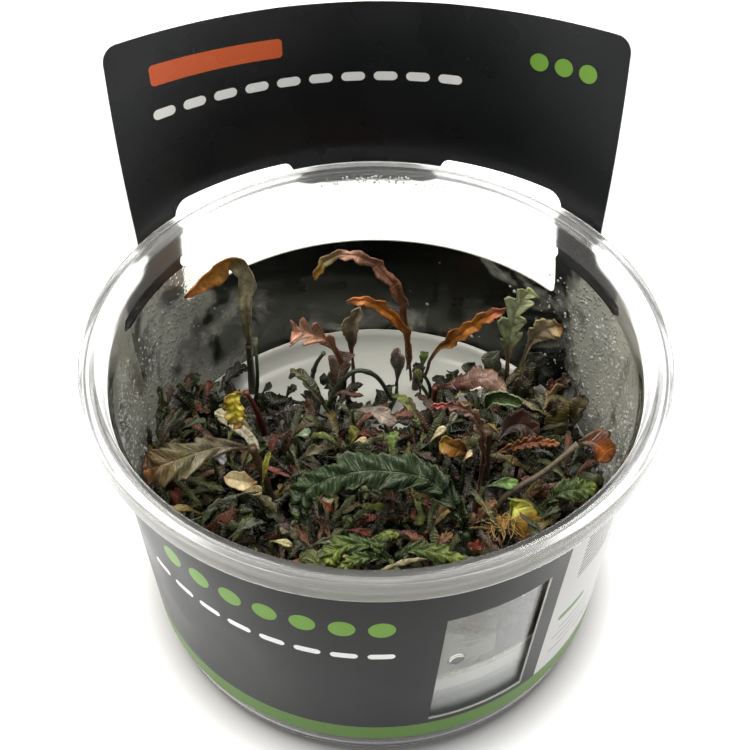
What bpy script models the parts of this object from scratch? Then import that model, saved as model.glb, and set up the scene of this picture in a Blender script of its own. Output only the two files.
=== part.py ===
"""A clear plastic culture cup of Hygrophila pinnatifida, standing in a printed card sleeve.

Millimetres are scaled to metres by MM. The origin is the centre of the cup's flat underside,
+Z is up, and the sleeve's tall header stands at the back, towards +Y.
"""
import bpy
import bmesh
from math import atan2, cos, hypot, pi, radians, sin
from mathutils import Matrix, Vector

MM = 0.001

# Cup
CUP_HEIGHT = 62.5
RIM_RADIUS = 50.5
RIM_ROUND = 0.5
SKIRT_DEPTH = 3.9
SKIRT_WALL = 0.7
FLANGE_THICKNESS = 1.2
NECK_FLARE = 1.2
NECK_RISE = 2.0
SEAT_FLARE = 1.9
LIP_ROUND = 2.5
BASE_RADIUS = 41.7
BASE_FILLET = 2.5
BASE_CHAMFER = 0.7
WALL_TAPER = 0.078
WALL = 0.8
SHOULDER_Z = 56.0
CUP_STEPS = 44

# Gel, which climbs the wall a little at its edge
GEL_TOP = 20.5
GEL_CLIMB = 4.0
GEL_CLIMB_WIDTH = 3.0
GEL_GAP = 0.3
GEL_STEPS = 36
ROOT_DEPTH = 5.0
SOCKET_GAP = 0.35
SOCKET_SIDES = 6

# Card sleeve: heights above the table, and lengths along the flat card
CARD = 0.5
CARD_GAP = 0.4
BAND_BOTTOM = 6.8
SILL = 46.5
BAND_TOP = 55.5
TAB_BOTTOM = 57.5
WINDOW_TOP = 63.0
HEADER_TOP = 96.7
SLEEVE_LEVELS = (BAND_BOTTOM, SILL, 51.0, BAND_TOP, TAB_BOTTOM, 60.0)
SLEEVE_LEVELS += (WINDOW_TOP, 70.0, 78.0, 86.0, 93.5, HEADER_TOP)
HEADER_RADIUS = 97.0
FLANGE_BACK = 51.3
HEADER_BACK = 52.1
LEG_RISE = 12.0
LEG_ARC = 50.0
HUG_ARC = 80.0
LEG_FLARE = 2.0
TOP_DROOP = 1.0
TOP_CORNER = 1.0
SLEEVE_TURN = radians(2.0)
SLEEVE_COLUMNS = 72
HEADER_COLUMNS = 12
WINDOW_COLUMNS = 10
TAB_COLUMNS = 4
TAB_WAIST = 0.9
TAB_END = 0.6
FLAT_ENOUGH = radians(0.1)

# Window in the front of the band, from the front's middle towards +X, leaning with the print
FRONT_WINDOW_COLUMNS = (29, 34)
FRONT_WINDOW_EDGES = (27.4, 8.1)
FRONT_WINDOW_HEIGHTS = (12.3, 45.0)
FRONT_WINDOW_LEAN = 0.053

# Plants
LEAF_THICKNESS = 0.4
LEAF_FOLD = radians(18.0)
PETIOLE_WIDTH = 1.0
TIP_WIDTH = 0.5
STEM_BEVEL_RESOLUTION = 1
PATH_STEPS = 12
CLUMP_GAP = 0.5
CLUMP_WALL_GAP = 3.2
CLUMP_LIFT = 0.3
CLUMP_SKIRT = 1.0
CLUMP_SECTORS = 12
CLUMP_RINGS = 6
CLUMP_NOTCH = 0.8
CLUMP_RIDGE = 0.2
CLUMP_DOME = 0.55
LEAF_CLEARANCE = 1.1
LEAF_REACH = 3.6
LEAF_LOW = 27.0
POST_HEIGHT = 30.0
POST_RADIUS = 1.2

CARD_BLACK = (0.012, 0.014, 0.016)
CLEAR_PLASTIC = (0.85, 0.87, 0.88)
GEL_CREAM = (0.62, 0.57, 0.47)
OLIVE = (0.055, 0.065, 0.022)
DARK_GREEN = (0.022, 0.05, 0.022)
BRIGHT_GREEN = (0.12, 0.22, 0.03)
PALE_GREEN = (0.25, 0.32, 0.16)
ORANGE = (0.42, 0.13, 0.02)
PINK_BROWN = (0.28, 0.12, 0.08)
MAROON = (0.11, 0.035, 0.03)
GREY_OLIVE = (0.2, 0.19, 0.12)
CREAM = (0.55, 0.47, 0.27)
YELLOW = (0.5, 0.38, 0.03)
STEM_BROWN = (0.12, 0.06, 0.03)


def clear_scene():
    for old in list(bpy.data.objects):
        bpy.data.objects.remove(old, do_unlink=True)


def make_collection(name):
    collection = bpy.data.collections.new(name)
    bpy.context.scene.collection.children.link(collection)
    return collection


def make_material(name, colour, roughness, metallic=0.0):
    material = bpy.data.materials.new(name)
    material.use_nodes = True
    shader = material.node_tree.nodes["Principled BSDF"]
    shader.inputs["Base Color"].default_value = (*colour, 1.0)
    shader.inputs["Roughness"].default_value = roughness
    shader.inputs["Metallic"].default_value = metallic
    return material


def add_object(name, data, collection, colour, roughness=0.5):
    obj = bpy.data.objects.new(name, data)
    collection.objects.link(obj)
    obj.data.materials.append(make_material(name, colour, roughness))
    return obj


def mesh_from(bm, name):
    mesh = bpy.data.meshes.new(name)
    bm.to_mesh(mesh)
    bm.free()
    return mesh


def wall_radius(height):
    """Outer radius of the tapered cup wall at a height."""
    return BASE_RADIUS + WALL_TAPER * (height - BASE_FILLET)


def smooth_step(value):
    """0 below 0, 1 above 1, and an even S between them."""
    value = min(1.0, max(0.0, value))
    return value * value * (3 - 2 * value)


def turned(name, profile, steps, collection, colour, roughness):
    """A solid of revolution from a closed profile of (radius, height), outer side first, going down."""
    bm = bmesh.new()
    verts = [bm.verts.new((radius * MM, 0.0, height * MM)) for radius, height in profile]
    for first, second in zip(verts, verts[1:]):
        bm.edges.new((first, second))
    if profile[0][0] > 0:
        bm.edges.new((verts[-1], verts[0]))
    obj = add_object(name, mesh_from(bm, name), collection, colour, roughness)
    screw = obj.modifiers.new("Turn", "SCREW")
    screw.axis = "Z"
    screw.steps = steps
    screw.render_steps = steps
    screw.use_merge_vertices = True
    screw.merge_threshold = 0.00001
    return obj


def make_cup(collection):
    """The tub: thin tapered wall, flat base, stepped neck and a wide flange with a hanging skirt."""
    top = CUP_HEIGHT
    skirt_bottom = top - SKIRT_DEPTH
    flange_bottom = top - FLANGE_THICKNESS
    neck = wall_radius(SHOULDER_Z)
    inner = neck - WALL
    foot = BASE_RADIUS - BASE_FILLET
    outside = [
        (RIM_RADIUS - RIM_ROUND, top),
        (RIM_RADIUS, top - RIM_ROUND),
        (RIM_RADIUS, skirt_bottom),
        (RIM_RADIUS - SKIRT_WALL, skirt_bottom),
        (RIM_RADIUS - SKIRT_WALL - 0.1, flange_bottom),
        (neck + SEAT_FLARE, flange_bottom),
        (neck + NECK_FLARE, SHOULDER_Z + NECK_RISE),
        (neck, SHOULDER_Z),
        (BASE_RADIUS, BASE_FILLET),
        (BASE_RADIUS - BASE_CHAMFER, BASE_CHAMFER),
        (foot, 0.0),
        (0.0, 0.0),
    ]
    inside = [
        (0.0, WALL),
        (foot - 0.1, WALL),
        (BASE_RADIUS - WALL, BASE_FILLET + 0.4),
        (inner, SHOULDER_Z + 0.2),
        (inner + NECK_FLARE - 0.1, SHOULDER_Z + 1.2),
        (inner + SEAT_FLARE - 0.4, flange_bottom - 0.4),
        (inner + LIP_ROUND, top - 0.3),
        (inner + LIP_ROUND + WALL, top),
    ]
    return turned("cup", outside + inside, CUP_STEPS, collection, CLEAR_PLASTIC, 0.08)


def make_gel(collection, cutters, stems):
    """The nutrient gel in the bottom of the cup, with a socket for each rooted stem."""
    floor = WALL + GEL_GAP
    edge_top = GEL_TOP + GEL_CLIMB
    edge = wall_radius(edge_top) - WALL - GEL_GAP - 0.2
    profile = [
        (0.0, GEL_TOP),
        (edge - GEL_CLIMB_WIDTH, GEL_TOP),
        (edge - GEL_CLIMB_WIDTH / 3, GEL_TOP + GEL_CLIMB / 3),
        (edge, edge_top),
        (BASE_RADIUS - WALL - GEL_GAP - 0.15, BASE_FILLET + WALL),
        (BASE_RADIUS - BASE_FILLET - 0.6, floor),
        (0.0, floor),
    ]
    gel = turned("gel", profile, GEL_STEPS, collection, GEL_CREAM, 0.2)
    bm = bmesh.new()
    socket_top = GEL_TOP + 2.0
    socket_floor = GEL_TOP - ROOT_DEPTH - SOCKET_GAP
    for x, y, radius in stems:
        middle = Vector((x, y, (socket_top + socket_floor) / 2)) * MM
        corner = (radius + SOCKET_GAP) / cos(pi / SOCKET_SIDES) * MM
        bmesh.ops.create_cone(
            bm,
            cap_ends=True,
            segments=SOCKET_SIDES,
            radius1=corner,
            radius2=corner,
            depth=(socket_top - socket_floor) * MM,
            matrix=Matrix.Translation(middle),
        )
    cutter = bpy.data.objects.new("root_sockets", mesh_from(bm, "root_sockets"))
    cutters.objects.link(cutter)
    cutter.display_type = "WIRE"
    cutter.hide_render = True
    cut = gel.modifiers.new("Sockets", "BOOLEAN")
    cut.operation = "DIFFERENCE"
    cut.object = cutter
    return gel


def sleeve_point(arc, height):
    """Where a point of the flat card lies once it is bent round the cup.

    arc is the distance along the card from the middle of its back, to the right seen from the front.
    The band hugs the wall. At the back the card flattens above the sill and leans back to clear the
    flange, and towards the sides that lean fades until the card hugs the wall again.
    """
    turn = arc / (wall_radius(SILL) + CARD_GAP) - SLEEVE_TURN
    hug = wall_radius(height) + CARD_GAP
    hugging = Vector((hug * sin(turn), hug * cos(turn), height)) * MM
    lean = smooth_step((HUG_ARC - abs(arc)) / (HUG_ARC - LEG_ARC))
    if height <= SILL or lean == 0:
        return hugging
    lift = (height - SILL) / (HEADER_TOP - SILL)
    sill_radius = wall_radius(SILL) + CARD_GAP
    curvature = (1 - lift) / sill_radius + lift / HEADER_RADIUS
    rise = smooth_step((height - SILL) / LEG_RISE)
    back = sill_radius + (FLANGE_BACK - sill_radius) * rise + (HEADER_BACK - FLANGE_BACK) * lift
    bend = arc * curvature
    place = Vector((sin(bend) / curvature, back - (1 - cos(bend)) / curvature, height))
    leaning = Matrix.Rotation(SLEEVE_TURN, 3, "Z") @ place * MM
    return hugging.lerp(leaning, lean)


def make_sleeve(collection):
    """One card: a band round the cup, two legs that pass the flange, and the header above them."""
    rows = len(SLEEVE_LEVELS) - 1
    half = SLEEVE_COLUMNS // 2
    girth = 2 * pi * (wall_radius(SILL) + CARD_GAP)
    step = girth / SLEEVE_COLUMNS
    bm = bmesh.new()
    bmesh.ops.create_grid(bm, x_segments=SLEEVE_COLUMNS, y_segments=rows, size=0.5)

    def column(vert):
        return round((vert.co.x + 0.5) * SLEEVE_COLUMNS) - half

    def level(vert):
        return (vert.co.y + 0.5) * rows

    sill_row = SLEEVE_LEVELS.index(SILL)
    band_row = SLEEVE_LEVELS.index(BAND_TOP)
    window_row = SLEEVE_LEVELS.index(WINDOW_TOP)
    tab_row = SLEEVE_LEVELS.index(TAB_BOTTOM)
    unwanted = []
    for face in bm.faces:
        outer = max(abs(column(vert)) for vert in face.verts)
        lower = min(round(level(vert)) for vert in face.verts)
        beside_header = lower >= band_row and outer > HEADER_COLUMNS
        in_window = sill_row <= lower < window_row and outer <= WINDOW_COLUMNS
        in_tab = lower >= tab_row and outer <= TAB_COLUMNS
        if beside_header or (in_window and not in_tab):
            unwanted.append(face)
    bmesh.ops.delete(bm, geom=unwanted, context="FACES")

    first, last = FRONT_WINDOW_COLUMNS
    shares = [(height - BAND_BOTTOM) / (SILL - BAND_BOTTOM) for height in FRONT_WINDOW_HEIGHTS]
    for share in shares:
        strip = [face for face in bm.faces if all(first <= column(vert) <= last for vert in face.verts)]
        strip = [face for face in strip if all(level(vert) < sill_row + 0.01 for vert in face.verts)]
        around = strip + list({edge for face in strip for edge in face.edges})
        around += list({vert for face in strip for vert in face.verts})
        cut = Vector((0, share / rows - 0.5, 0))
        bmesh.ops.bisect_plane(bm, geom=around, dist=1e-6, plane_co=cut, plane_no=(0, 1, 0))
    opening = [
        face
        for face in bm.faces
        if all(first <= column(vert) <= last for vert in face.verts)
        and all(shares[0] - 0.01 < level(vert) < shares[1] + 0.01 for vert in face.verts)
    ]
    bmesh.ops.delete(bm, geom=opening, context="FACES")

    for vert in bm.verts:
        across = column(vert)
        up = level(vert)
        arc = across * step
        below = min(int(up + 0.001), rows - 1)
        height = SLEEVE_LEVELS[below] + (SLEEVE_LEVELS[below + 1] - SLEEVE_LEVELS[below]) * (up - below)
        if shares[0] - 0.01 < up < shares[1] + 0.01 and first <= across <= last:
            share = (last - across) / (last - first)
            edge = FRONT_WINDOW_EDGES[1] + (FRONT_WINDOW_EDGES[0] - FRONT_WINDOW_EDGES[1]) * share
            arc = girth / 2 - edge - FRONT_WINDOW_LEAN * (height - FRONT_WINDOW_HEIGHTS[0])
        if height >= SILL and abs(across) == HEADER_COLUMNS:
            flare = LEG_FLARE * (HEADER_TOP - height) / (HEADER_TOP - SILL)
            arc *= 1 + flare / (HEADER_COLUMNS * step)
        if round(up) == rows:
            height -= TOP_DROOP * (across / HEADER_COLUMNS) ** 2
        if round(up) == rows and abs(across) == HEADER_COLUMNS:
            arc *= 1 - TOP_CORNER / (HEADER_COLUMNS * step)
            height -= TOP_CORNER
        if tab_row <= round(up) < window_row and abs(across) <= TAB_COLUMNS:
            arc *= TAB_WAIST if round(up) > tab_row else TAB_END
        vert.co = sleeve_point(arc, height)
    bmesh.ops.remove_doubles(bm, verts=bm.verts, dist=0.00001)
    bmesh.ops.dissolve_limit(bm, angle_limit=FLAT_ENOUGH, verts=bm.verts, edges=bm.edges)
    bmesh.ops.recalc_face_normals(bm, faces=bm.faces)
    sleeve = add_object("card_sleeve", mesh_from(bm, "card_sleeve"), collection, CARD_BLACK, 0.35)
    shell = sleeve.modifiers.new("Card", "SOLIDIFY")
    shell.thickness = CARD * MM
    shell.offset = 1.0
    return sleeve


def smooth_path(points, count):
    """count + 1 points, evenly spaced by length, along a Catmull-Rom curve through the points."""
    knots = [Vector(point) for point in points]
    knots = [2 * knots[0] - knots[1]] + knots + [2 * knots[-1] - knots[-2]]
    fine = []
    for index in range(1, len(knots) - 2):
        before, start, end, after = knots[index - 1 : index + 3]
        for part in range(PATH_STEPS):
            t = part / PATH_STEPS
            fine.append(
                0.5
                * (
                    2 * start
                    + (end - before) * t
                    + (2 * before - 5 * start + 4 * end - after) * t * t
                    + (3 * start - before - 3 * end + after) * t**3
                )
            )
    fine.append(knots[-2])
    lengths = [0.0]
    for first, second in zip(fine, fine[1:]):
        lengths.append(lengths[-1] + (second - first).length)
    path = []
    for index in range(count + 1):
        want = lengths[-1] * index / count
        place = next(i for i in range(1, len(fine)) if lengths[i] >= want - 1e-9)
        share = (want - lengths[place - 1]) / (lengths[place] - lengths[place - 1])
        path.append(fine[place - 1].lerp(fine[place], share))
    return path


def make_leaf(name, points, width, lobes, depth, face, colour, collection):
    """A leaf blade: a narrow petiole, then pairs of lobes on both sides of a folded midrib.

    depth is how far the notches between lobes reach in, and face is where the upper side looks.
    """
    stations = 2 * lobes + 2
    path = smooth_path(points, stations)
    bm = bmesh.new()
    bmesh.ops.create_grid(bm, x_segments=2, y_segments=stations, size=0.5)
    for vert in bm.verts:
        station = round((vert.co.y + 0.5) * stations)
        side = round(vert.co.x * 2)
        ahead = path[min(station + 1, stations)] - path[max(station - 1, 0)]
        across = ahead.cross(Vector(face)).normalized()
        upper = across.cross(ahead).normalized()
        along = station / stations
        if station == 0:
            half = PETIOLE_WIDTH / 2
        elif station == stations:
            half = TIP_WIDTH / 2
        else:
            blade = min(1.0, 0.35 + 1.6 * along) * min(1.0, 2.4 * (1.08 - along))
            notch = depth if station % 2 else 0.0
            half = max(PETIOLE_WIDTH / 2, width / 2 * blade * (1 - notch))
        out = across * cos(LEAF_FOLD) + upper * sin(LEAF_FOLD) * abs(side)
        vert.co = (path[station] + out * half * side) * MM if side else path[station] * MM
    bmesh.ops.recalc_face_normals(bm, faces=bm.faces)
    leaf = add_object(name, mesh_from(bm, name), collection, colour, 0.35)
    blade = leaf.modifiers.new("Blade", "SOLIDIFY")
    blade.thickness = LEAF_THICKNESS * MM
    blade.offset = 0.0
    return leaf


def make_stem(name, points, radius, colour, collection):
    """A round stem along a smooth path, rooted straight down in its socket."""
    path = smooth_path(points, max(3, 2 * (len(points) - 1)))
    curve = bpy.data.curves.new(name, "CURVE")
    curve.dimensions = "3D"
    curve.bevel_depth = radius * MM
    curve.bevel_resolution = STEM_BEVEL_RESOLUTION
    curve.use_fill_caps = True
    spline = curve.splines.new("POLY")
    root = Vector(points[0]) - Vector((0, 0, ROOT_DEPTH))
    line = [root] + path
    spline.points.add(len(line) - 1)
    for point, place in zip(spline.points, line):
        point.co = (*(place * MM), 1.0)
    return add_object(name, curve, collection, colour, 0.5)


STEMS = {
    "stem_tall_left": ([(-25, 28.5, 20.5), (-25, 28.5, 27), (-25, 28.5, 33.4)], 0.9),
    "stem_back": ([(8, 29.5, 20.5), (8, 29.5, 23), (8, 29.5, 26)], 1.1),
    "stem_salmon": ([(-5.5, 23.5, 20.5), (-5.5, 23.5, 23), (-5.5, 23.5, 26)], 1.0),
    "stem_pale_green": ([(26.5, 24.5, 20.5), (26.5, 24.5, 24), (26.5, 24.5, 27)], 1.0),
    "stem_right_wall": ([(34, 19, 20.5), (34, 19.2, 24), (34, 19.2, 28)], 0.8),
    "stem_maroon": ([(11, 16.5, 20.5), (11, 16, 28), (11, 15.5, 34.6)], 0.7),
    "stem_middle": ([(20, 0, 20.5), (20.3, 0.2, 30), (20.3, 0.5, 39.4)], 1.1),
    "stem_red_tipped": ([(18, -8.5, 20.5), (18.2, -8, 25), (18.4, -7.2, 30.4)], 0.9),
    "stem_large_green": ([(17, -20, 20.5), (17, -19.4, 27), (16.2, -18.4, 33.2)], 1.0),
    "stem_broad_olive": ([(-19, -5, 20.5), (-20, -4.4, 30), (-21.6, -3.2, 39.2)], 1.1),
    "stem_red": ([(-20, 11, 20.5), (-21, 8.5, 30), (-22, 6.2, 39), (-23, 4.8, 45.4)], 0.8),
    "stem_diagonal": (
        [(20.5, -14, 20.5), (20.6, -14, 30), (22.6, -13.4, 38), (29, -12.3, 43.4), (34.4, -10.6, 47.2)], 0.8),
    "stem_front": ([(5, -27, 20.5), (4.6, -26.5, 30), (4, -25.6, 36.6)], 0.9),
    "stem_bright_green": ([(29, -17, 20.5), (29, -16.4, 28), (28.6, -15.4, 34.6)], 0.9),
    "stem_thin_left": ([(-13, 26, 20.5), (-12.6, 25, 28), (-11.6, 23.2, 34), (-10, 21.6, 38.6)], 0.6),
    "stem_arching": (
        [(-10, 16, 20.5), (-8.5, 16.5, 31), (-4.5, 17.5, 37.6), (0, 18, 36), (3, 18.6, 29)], 0.6),
}

LEAVES = {
    "leaf_tall_folded": (
        [(-25, 28.5, 34.0), (-25, 28.8, 40), (-25.2, 28.8, 46), (-25.6, 29.4, 54.6), (-30, 27, 55.2),
         (-34.6, 23.6, 51.8)],
        6.4, 4, 0.3, (0.1, -1.0, 0.25), GREY_OLIVE),
    "leaf_arching_pink": (
        [(6.4, 31.0, 24.5), (5.8, 30.6, 37), (4.5, 30, 46), (0, 30, 53.6), (-5, 29.6, 56.6),
         (-9.5, 29.6, 55), (-11.5, 29.4, 50.4)],
        3.0, 6, 0.4, (0.2, -1.0, 0.2), PINK_BROWN),
    "leaf_orange_curved": (
        [(7.0, 27.8, 24.5), (6.5, 27.2, 33), (5.5, 26.6, 40), (1.5, 26, 46), (-2, 25.2, 49), (-5.5, 25, 49)],
        3.0, 5, 0.35, (0.2, -1.0, 0.3), ORANGE),
    "leaf_orange_lance": (
        [(9.8, 28.6, 24.5), (11.5, 26.4, 34), (15.5, 24.6, 40), (20, 24.2, 45), (24.4, 24.2, 48)],
        3.2, 4, 0.35, (-0.2, -1.0, 0.3), ORANGE),
    "leaf_salmon_lobed": (
        [(-6.6, 22.0, 25.4), (-6.2, 21.4, 34), (-8.5, 20.6, 42), (-12.3, 19.4, 46), (-15.5, 19, 47)],
        5.0, 3, 0.5, (0.1, -0.9, 0.5), PINK_BROWN),
    "leaf_grey_upright": (
        [(-4.4, 25.2, 25.4), (-4.6, 26, 36), (-4.4, 26, 42), (-3, 26.2, 46.4)],
        4.2, 3, 0.35, (-0.2, -1.0, 0.3), PINK_BROWN),
    "leaf_pale_green": (
        [(25.6, 23.0, 27), (25.5, 22.4, 36), (25.5, 22, 43), (26.6, 22, 51), (28.4, 22, 55)],
        5.0, 4, 0.55, (-0.2, -1.0, 0.3), PALE_GREEN),
    "leaf_beige": (
        [(27.8, 25.6, 26), (29.8, 26.2, 36), (32.3, 25.4, 41), (35.4, 24.6, 43)],
        4.6, 3, 0.4, (0.0, -0.9, 0.45), GREY_OLIVE),
    "leaf_olive_hanging": (
        [(34, 18.8, 28.8), (34.2, 15, 34.6), (34.4, 10.6, 34.6), (34, 8.6, 29)],
        6.0, 3, 0.3, (0.1, -0.9, 0.5), OLIVE),
    "leaf_maroon": (
        [(11.6, 15.2, 35.6), (15.8, 13.4, 39), (20.4, 12, 41.6), (24, 10, 40)],
        4.8, 4, 0.3, (0.0, -0.5, 0.85), MAROON),
    "leaf_red_tipped": (
        [(18.6, -6.8, 31.2), (19.0, -6, 42), (17.4, -4.6, 49), (13.6, -4, 51.6), (9.6, -3.6, 51)],
        2.8, 7, 0.4, (0.1, -0.9, 0.45), PINK_BROWN),
    "leaf_curled_green": (
        [(20.4, 1.0, 40.2), (21.6, 2, 43.6), (23.8, 2.4, 45.8), (26.4, 1.6, 45)],
        4.4, 2, 0.2, (0.0, -0.6, 0.8), BRIGHT_GREEN),
    "leaf_dark_red": (
        [(22.0, 0.9, 36.4), (24.4, 3.0, 38), (27, 3.2, 38.6), (29.6, 2, 37)],
        4.4, 3, 0.35, (0.0, -0.6, 0.8), MAROON),
    "leaf_rust": (
        [(21.4, -2.0, 36), (23.4, -4.2, 40.4), (27, -4.8, 42), (32, -5.6, 42.4)],
        3.0, 6, 0.45, (0.0, -0.7, 0.7), ORANGE),
    "leaf_golden": (
        [(18.4, -0.2, 33.6), (15.4, -1.6, 37), (13, -2, 39), (11.4, -2, 39.6)],
        3.6, 2, 0.25, (0.0, -0.8, 0.6), YELLOW),
    "leaf_large_green": (
        [(15.8, -17.8, 34), (14, -17.6, 40), (11, -16.4, 44), (7, -15.2, 46), (-1, -15, 47),
         (-8.5, -16, 46), (-13.4, -17, 43.8), (-14.8, -18, 40.6), (-13.4, -18.8, 37)],
        8.6, 7, 0.16, (0.0, -0.45, 0.9), DARK_GREEN),
    "leaf_broad_olive": (
        [(-22.6, -3.6, 40), (-27.5, -7, 44), (-32, -10.6, 46), (-36.6, -12.8, 46), (-40, -12.4, 44.2)],
        8.4, 4, 0.3, (0.15, -0.5, 0.85), OLIVE),
    "leaf_small_yellow": (
        [(-23.6, 4.2, 46.2), (-25, 2.8, 46.4), (-25.4, 1.4, 43.6), (-24.6, 0.6, 40.6)],
        3.4, 3, 0.35, (0.0, -0.95, 0.3), YELLOW),
    "leaf_cream_back": (
        [(-23.2, 6.0, 34), (-26, 6.4, 36), (-30, 8.2, 36.6)],
        2.6, 1, 0.05, (0.0, -0.5, 0.85), CREAM),
    "leaf_cream_front": (
        [(-21.6, -5.6, 32.6), (-23.6, -7.4, 35), (-27.2, -7.2, 36)],
        3.0, 1, 0.05, (0.0, -0.5, 0.85), CREAM),
    "leaf_yellow": (
        [(22.4, -15.0, 34.6), (23.6, -16.8, 36.4), (25.6, -18.6, 35.6), (27.4, -19.8, 33)],
        5.0, 2, 0.12, (0.2, -0.7, 0.7), YELLOW),
    "leaf_lime_curled": (
        [(3.6, -25.4, 37.6), (0.6, -26.4, 40.6), (-3.4, -27.6, 41.4), (-7, -28.4, 39.6)],
        6.0, 4, 0.25, (0.0, -0.5, 0.85), BRIGHT_GREEN),
    "leaf_bright_green": (
        [(29.2, -14.6, 35.4), (32, -14.8, 40), (35, -15, 42), (38, -14.8, 42.4)],
        4.6, 3, 0.3, (0.0, -0.5, 0.85), BRIGHT_GREEN),
    "leaf_dark_orange": (
        [(34.8, -9.4, 48), (36.8, -9.8, 48.8), (38.8, -10.6, 48), (40.6, -11.4, 45.8)],
        5.2, 2, 0.15, (0.0, -0.6, 0.8), ORANGE),
}

CLUMPS = [
    (-19, -31, 11, 39), (-5, -34, 9, 39), (11, -33, 9, 38), (26, -27, 11, 37), (-32.5, -20, 10, 40),
    (-9, -18, 9, 37), (6.5, -15, 9, 38), (35, -9, 9, 38), (-37, -4, 9, 39), (-27, -2, 9, 34),
    (-9, -1, 11, 36), (8, 2, 10, 36), (28, 6, 10, 34), (-34, 14, 9, 32), (-12, 9, 9, 31),
    (22, 15, 9, 31),
]


def clump_limit(centre, direction, others, posts):
    """How far a clump may spread in a direction before it meets a neighbour, a stem or the wall."""
    wall = wall_radius(GEL_TOP) - WALL - CLUMP_WALL_GAP
    along = centre.dot(direction)
    limit = -along + (along * along + wall * wall - centre.length_squared) ** 0.5
    for other, keep in others + posts:
        away = other - centre
        distance = away.length
        facing = direction.dot(away / distance)
        if facing > 0.05:
            reach = distance / 2 - CLUMP_GAP / 2 if keep is None else distance - keep
            limit = min(limit, reach / facing)
    return limit


def make_clump(index, clump, posts, ceiling, collection):
    """A small bushy plant: a lobed dome of leaves that stays under the larger leaves above it."""
    x, y, spread, top = clump
    centre = Vector((x, y))
    others = [(Vector(other[:2]), None) for other in CLUMPS if other is not clump]
    floor = GEL_TOP + CLUMP_LIFT
    skirt = floor + CLUMP_SKIRT
    bm = bmesh.new()
    bmesh.ops.create_uvsphere(bm, u_segments=CLUMP_SECTORS, v_segments=CLUMP_RINGS, radius=1.0)
    for vert in bm.verts:
        flat = hypot(vert.co.x, vert.co.y)
        turn = atan2(vert.co.y, vert.co.x) if flat > 0.01 else 0.0
        sector = round(turn / (2 * pi) * CLUMP_SECTORS) % CLUMP_SECTORS
        direction = Vector((cos(turn), sin(turn)))
        lobe = 1.0 if sector % 2 else CLUMP_NOTCH
        reach = min(spread * lobe, clump_limit(centre, direction, others, posts))
        place = centre + direction * reach * flat
        height = floor
        if vert.co.z > -0.01:
            ridge = 1 - CLUMP_RIDGE + CLUMP_RIDGE * sin(2.3 * sector + 1.7 * index)
            if flat < 0.01:
                ridge = 1.0
            height = skirt + (top - skirt) * vert.co.z**CLUMP_DOME * ridge
            for spot in ceiling:
                if hypot(spot.x - place.x, spot.y - place.y) < LEAF_REACH:
                    height = min(height, spot.z - LEAF_CLEARANCE)
            height = max(height, skirt - 0.2)
        vert.co = Vector((place.x, place.y, height)) * MM
    name = f"plantlet_{index:02d}"
    return add_object(name, mesh_from(bm, name), collection, OLIVE, 0.5)


def main():
    clear_scene()
    parts = make_collection("hygrophila_pinnatifida_cup")
    cutters = make_collection("cutters")
    make_cup(parts)
    make_sleeve(parts)
    roots = [(points[0][0], points[0][1], radius) for points, radius in STEMS.values()]
    make_gel(parts, cutters, roots)
    for name, (points, radius) in STEMS.items():
        make_stem(name, points, radius, STEM_BROWN, parts)
    ceiling = []
    for name, (points, width, lobes, depth, face, colour) in LEAVES.items():
        leaf = make_leaf(name, points, width, lobes, depth, face, colour, parts)
        ceiling += [vert.co / MM for vert in leaf.data.vertices]
    posts = []
    for points, radius in STEMS.values():
        for place in smooth_path(points, PATH_STEPS):
            ceiling.append(place - Vector((0, 0, radius)))
            if place.z < POST_HEIGHT:
                posts.append((place.to_2d(), radius + CLUMP_GAP))
    posts += [(place.to_2d(), POST_RADIUS) for place in ceiling if place.z < POST_HEIGHT]
    ceiling = [spot for spot in ceiling if spot.z > LEAF_LOW]
    for index, clump in enumerate(CLUMPS, 1):
        make_clump(index, clump, posts, ceiling, parts)


main()
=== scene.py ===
import random
from math import cos, hypot, pi, radians, sin, sqrt

import bmesh
import bpy
from mathutils import Matrix, Vector, noise


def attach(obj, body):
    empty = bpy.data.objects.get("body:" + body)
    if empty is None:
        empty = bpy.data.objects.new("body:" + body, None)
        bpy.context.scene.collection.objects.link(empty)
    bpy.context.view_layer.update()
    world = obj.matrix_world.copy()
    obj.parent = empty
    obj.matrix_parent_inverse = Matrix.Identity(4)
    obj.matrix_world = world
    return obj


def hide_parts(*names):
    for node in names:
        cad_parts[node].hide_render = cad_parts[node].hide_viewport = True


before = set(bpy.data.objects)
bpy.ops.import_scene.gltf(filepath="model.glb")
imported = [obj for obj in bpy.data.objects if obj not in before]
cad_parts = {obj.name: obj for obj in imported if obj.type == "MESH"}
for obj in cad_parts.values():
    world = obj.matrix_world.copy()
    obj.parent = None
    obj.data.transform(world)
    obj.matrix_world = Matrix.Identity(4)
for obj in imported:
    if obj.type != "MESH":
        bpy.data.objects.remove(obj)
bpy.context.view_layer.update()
mm = 0.001
scene = bpy.context.scene
noise.seed_set(5)      # its vectors are seeded by the clock otherwise
print("frame loaded:", len(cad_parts), "solids")


# sRGB hex text to a linear colour with alpha
def linear(hexColour):
    channels = [int(hexColour[i:i + 2], 16) / 255 for i in (0, 2, 4)]
    return tuple(c / 12.92 if c <= 0.04045 else ((c + 0.055) / 1.055) ** 2.4 for c in channels) + (1.0,)


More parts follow.
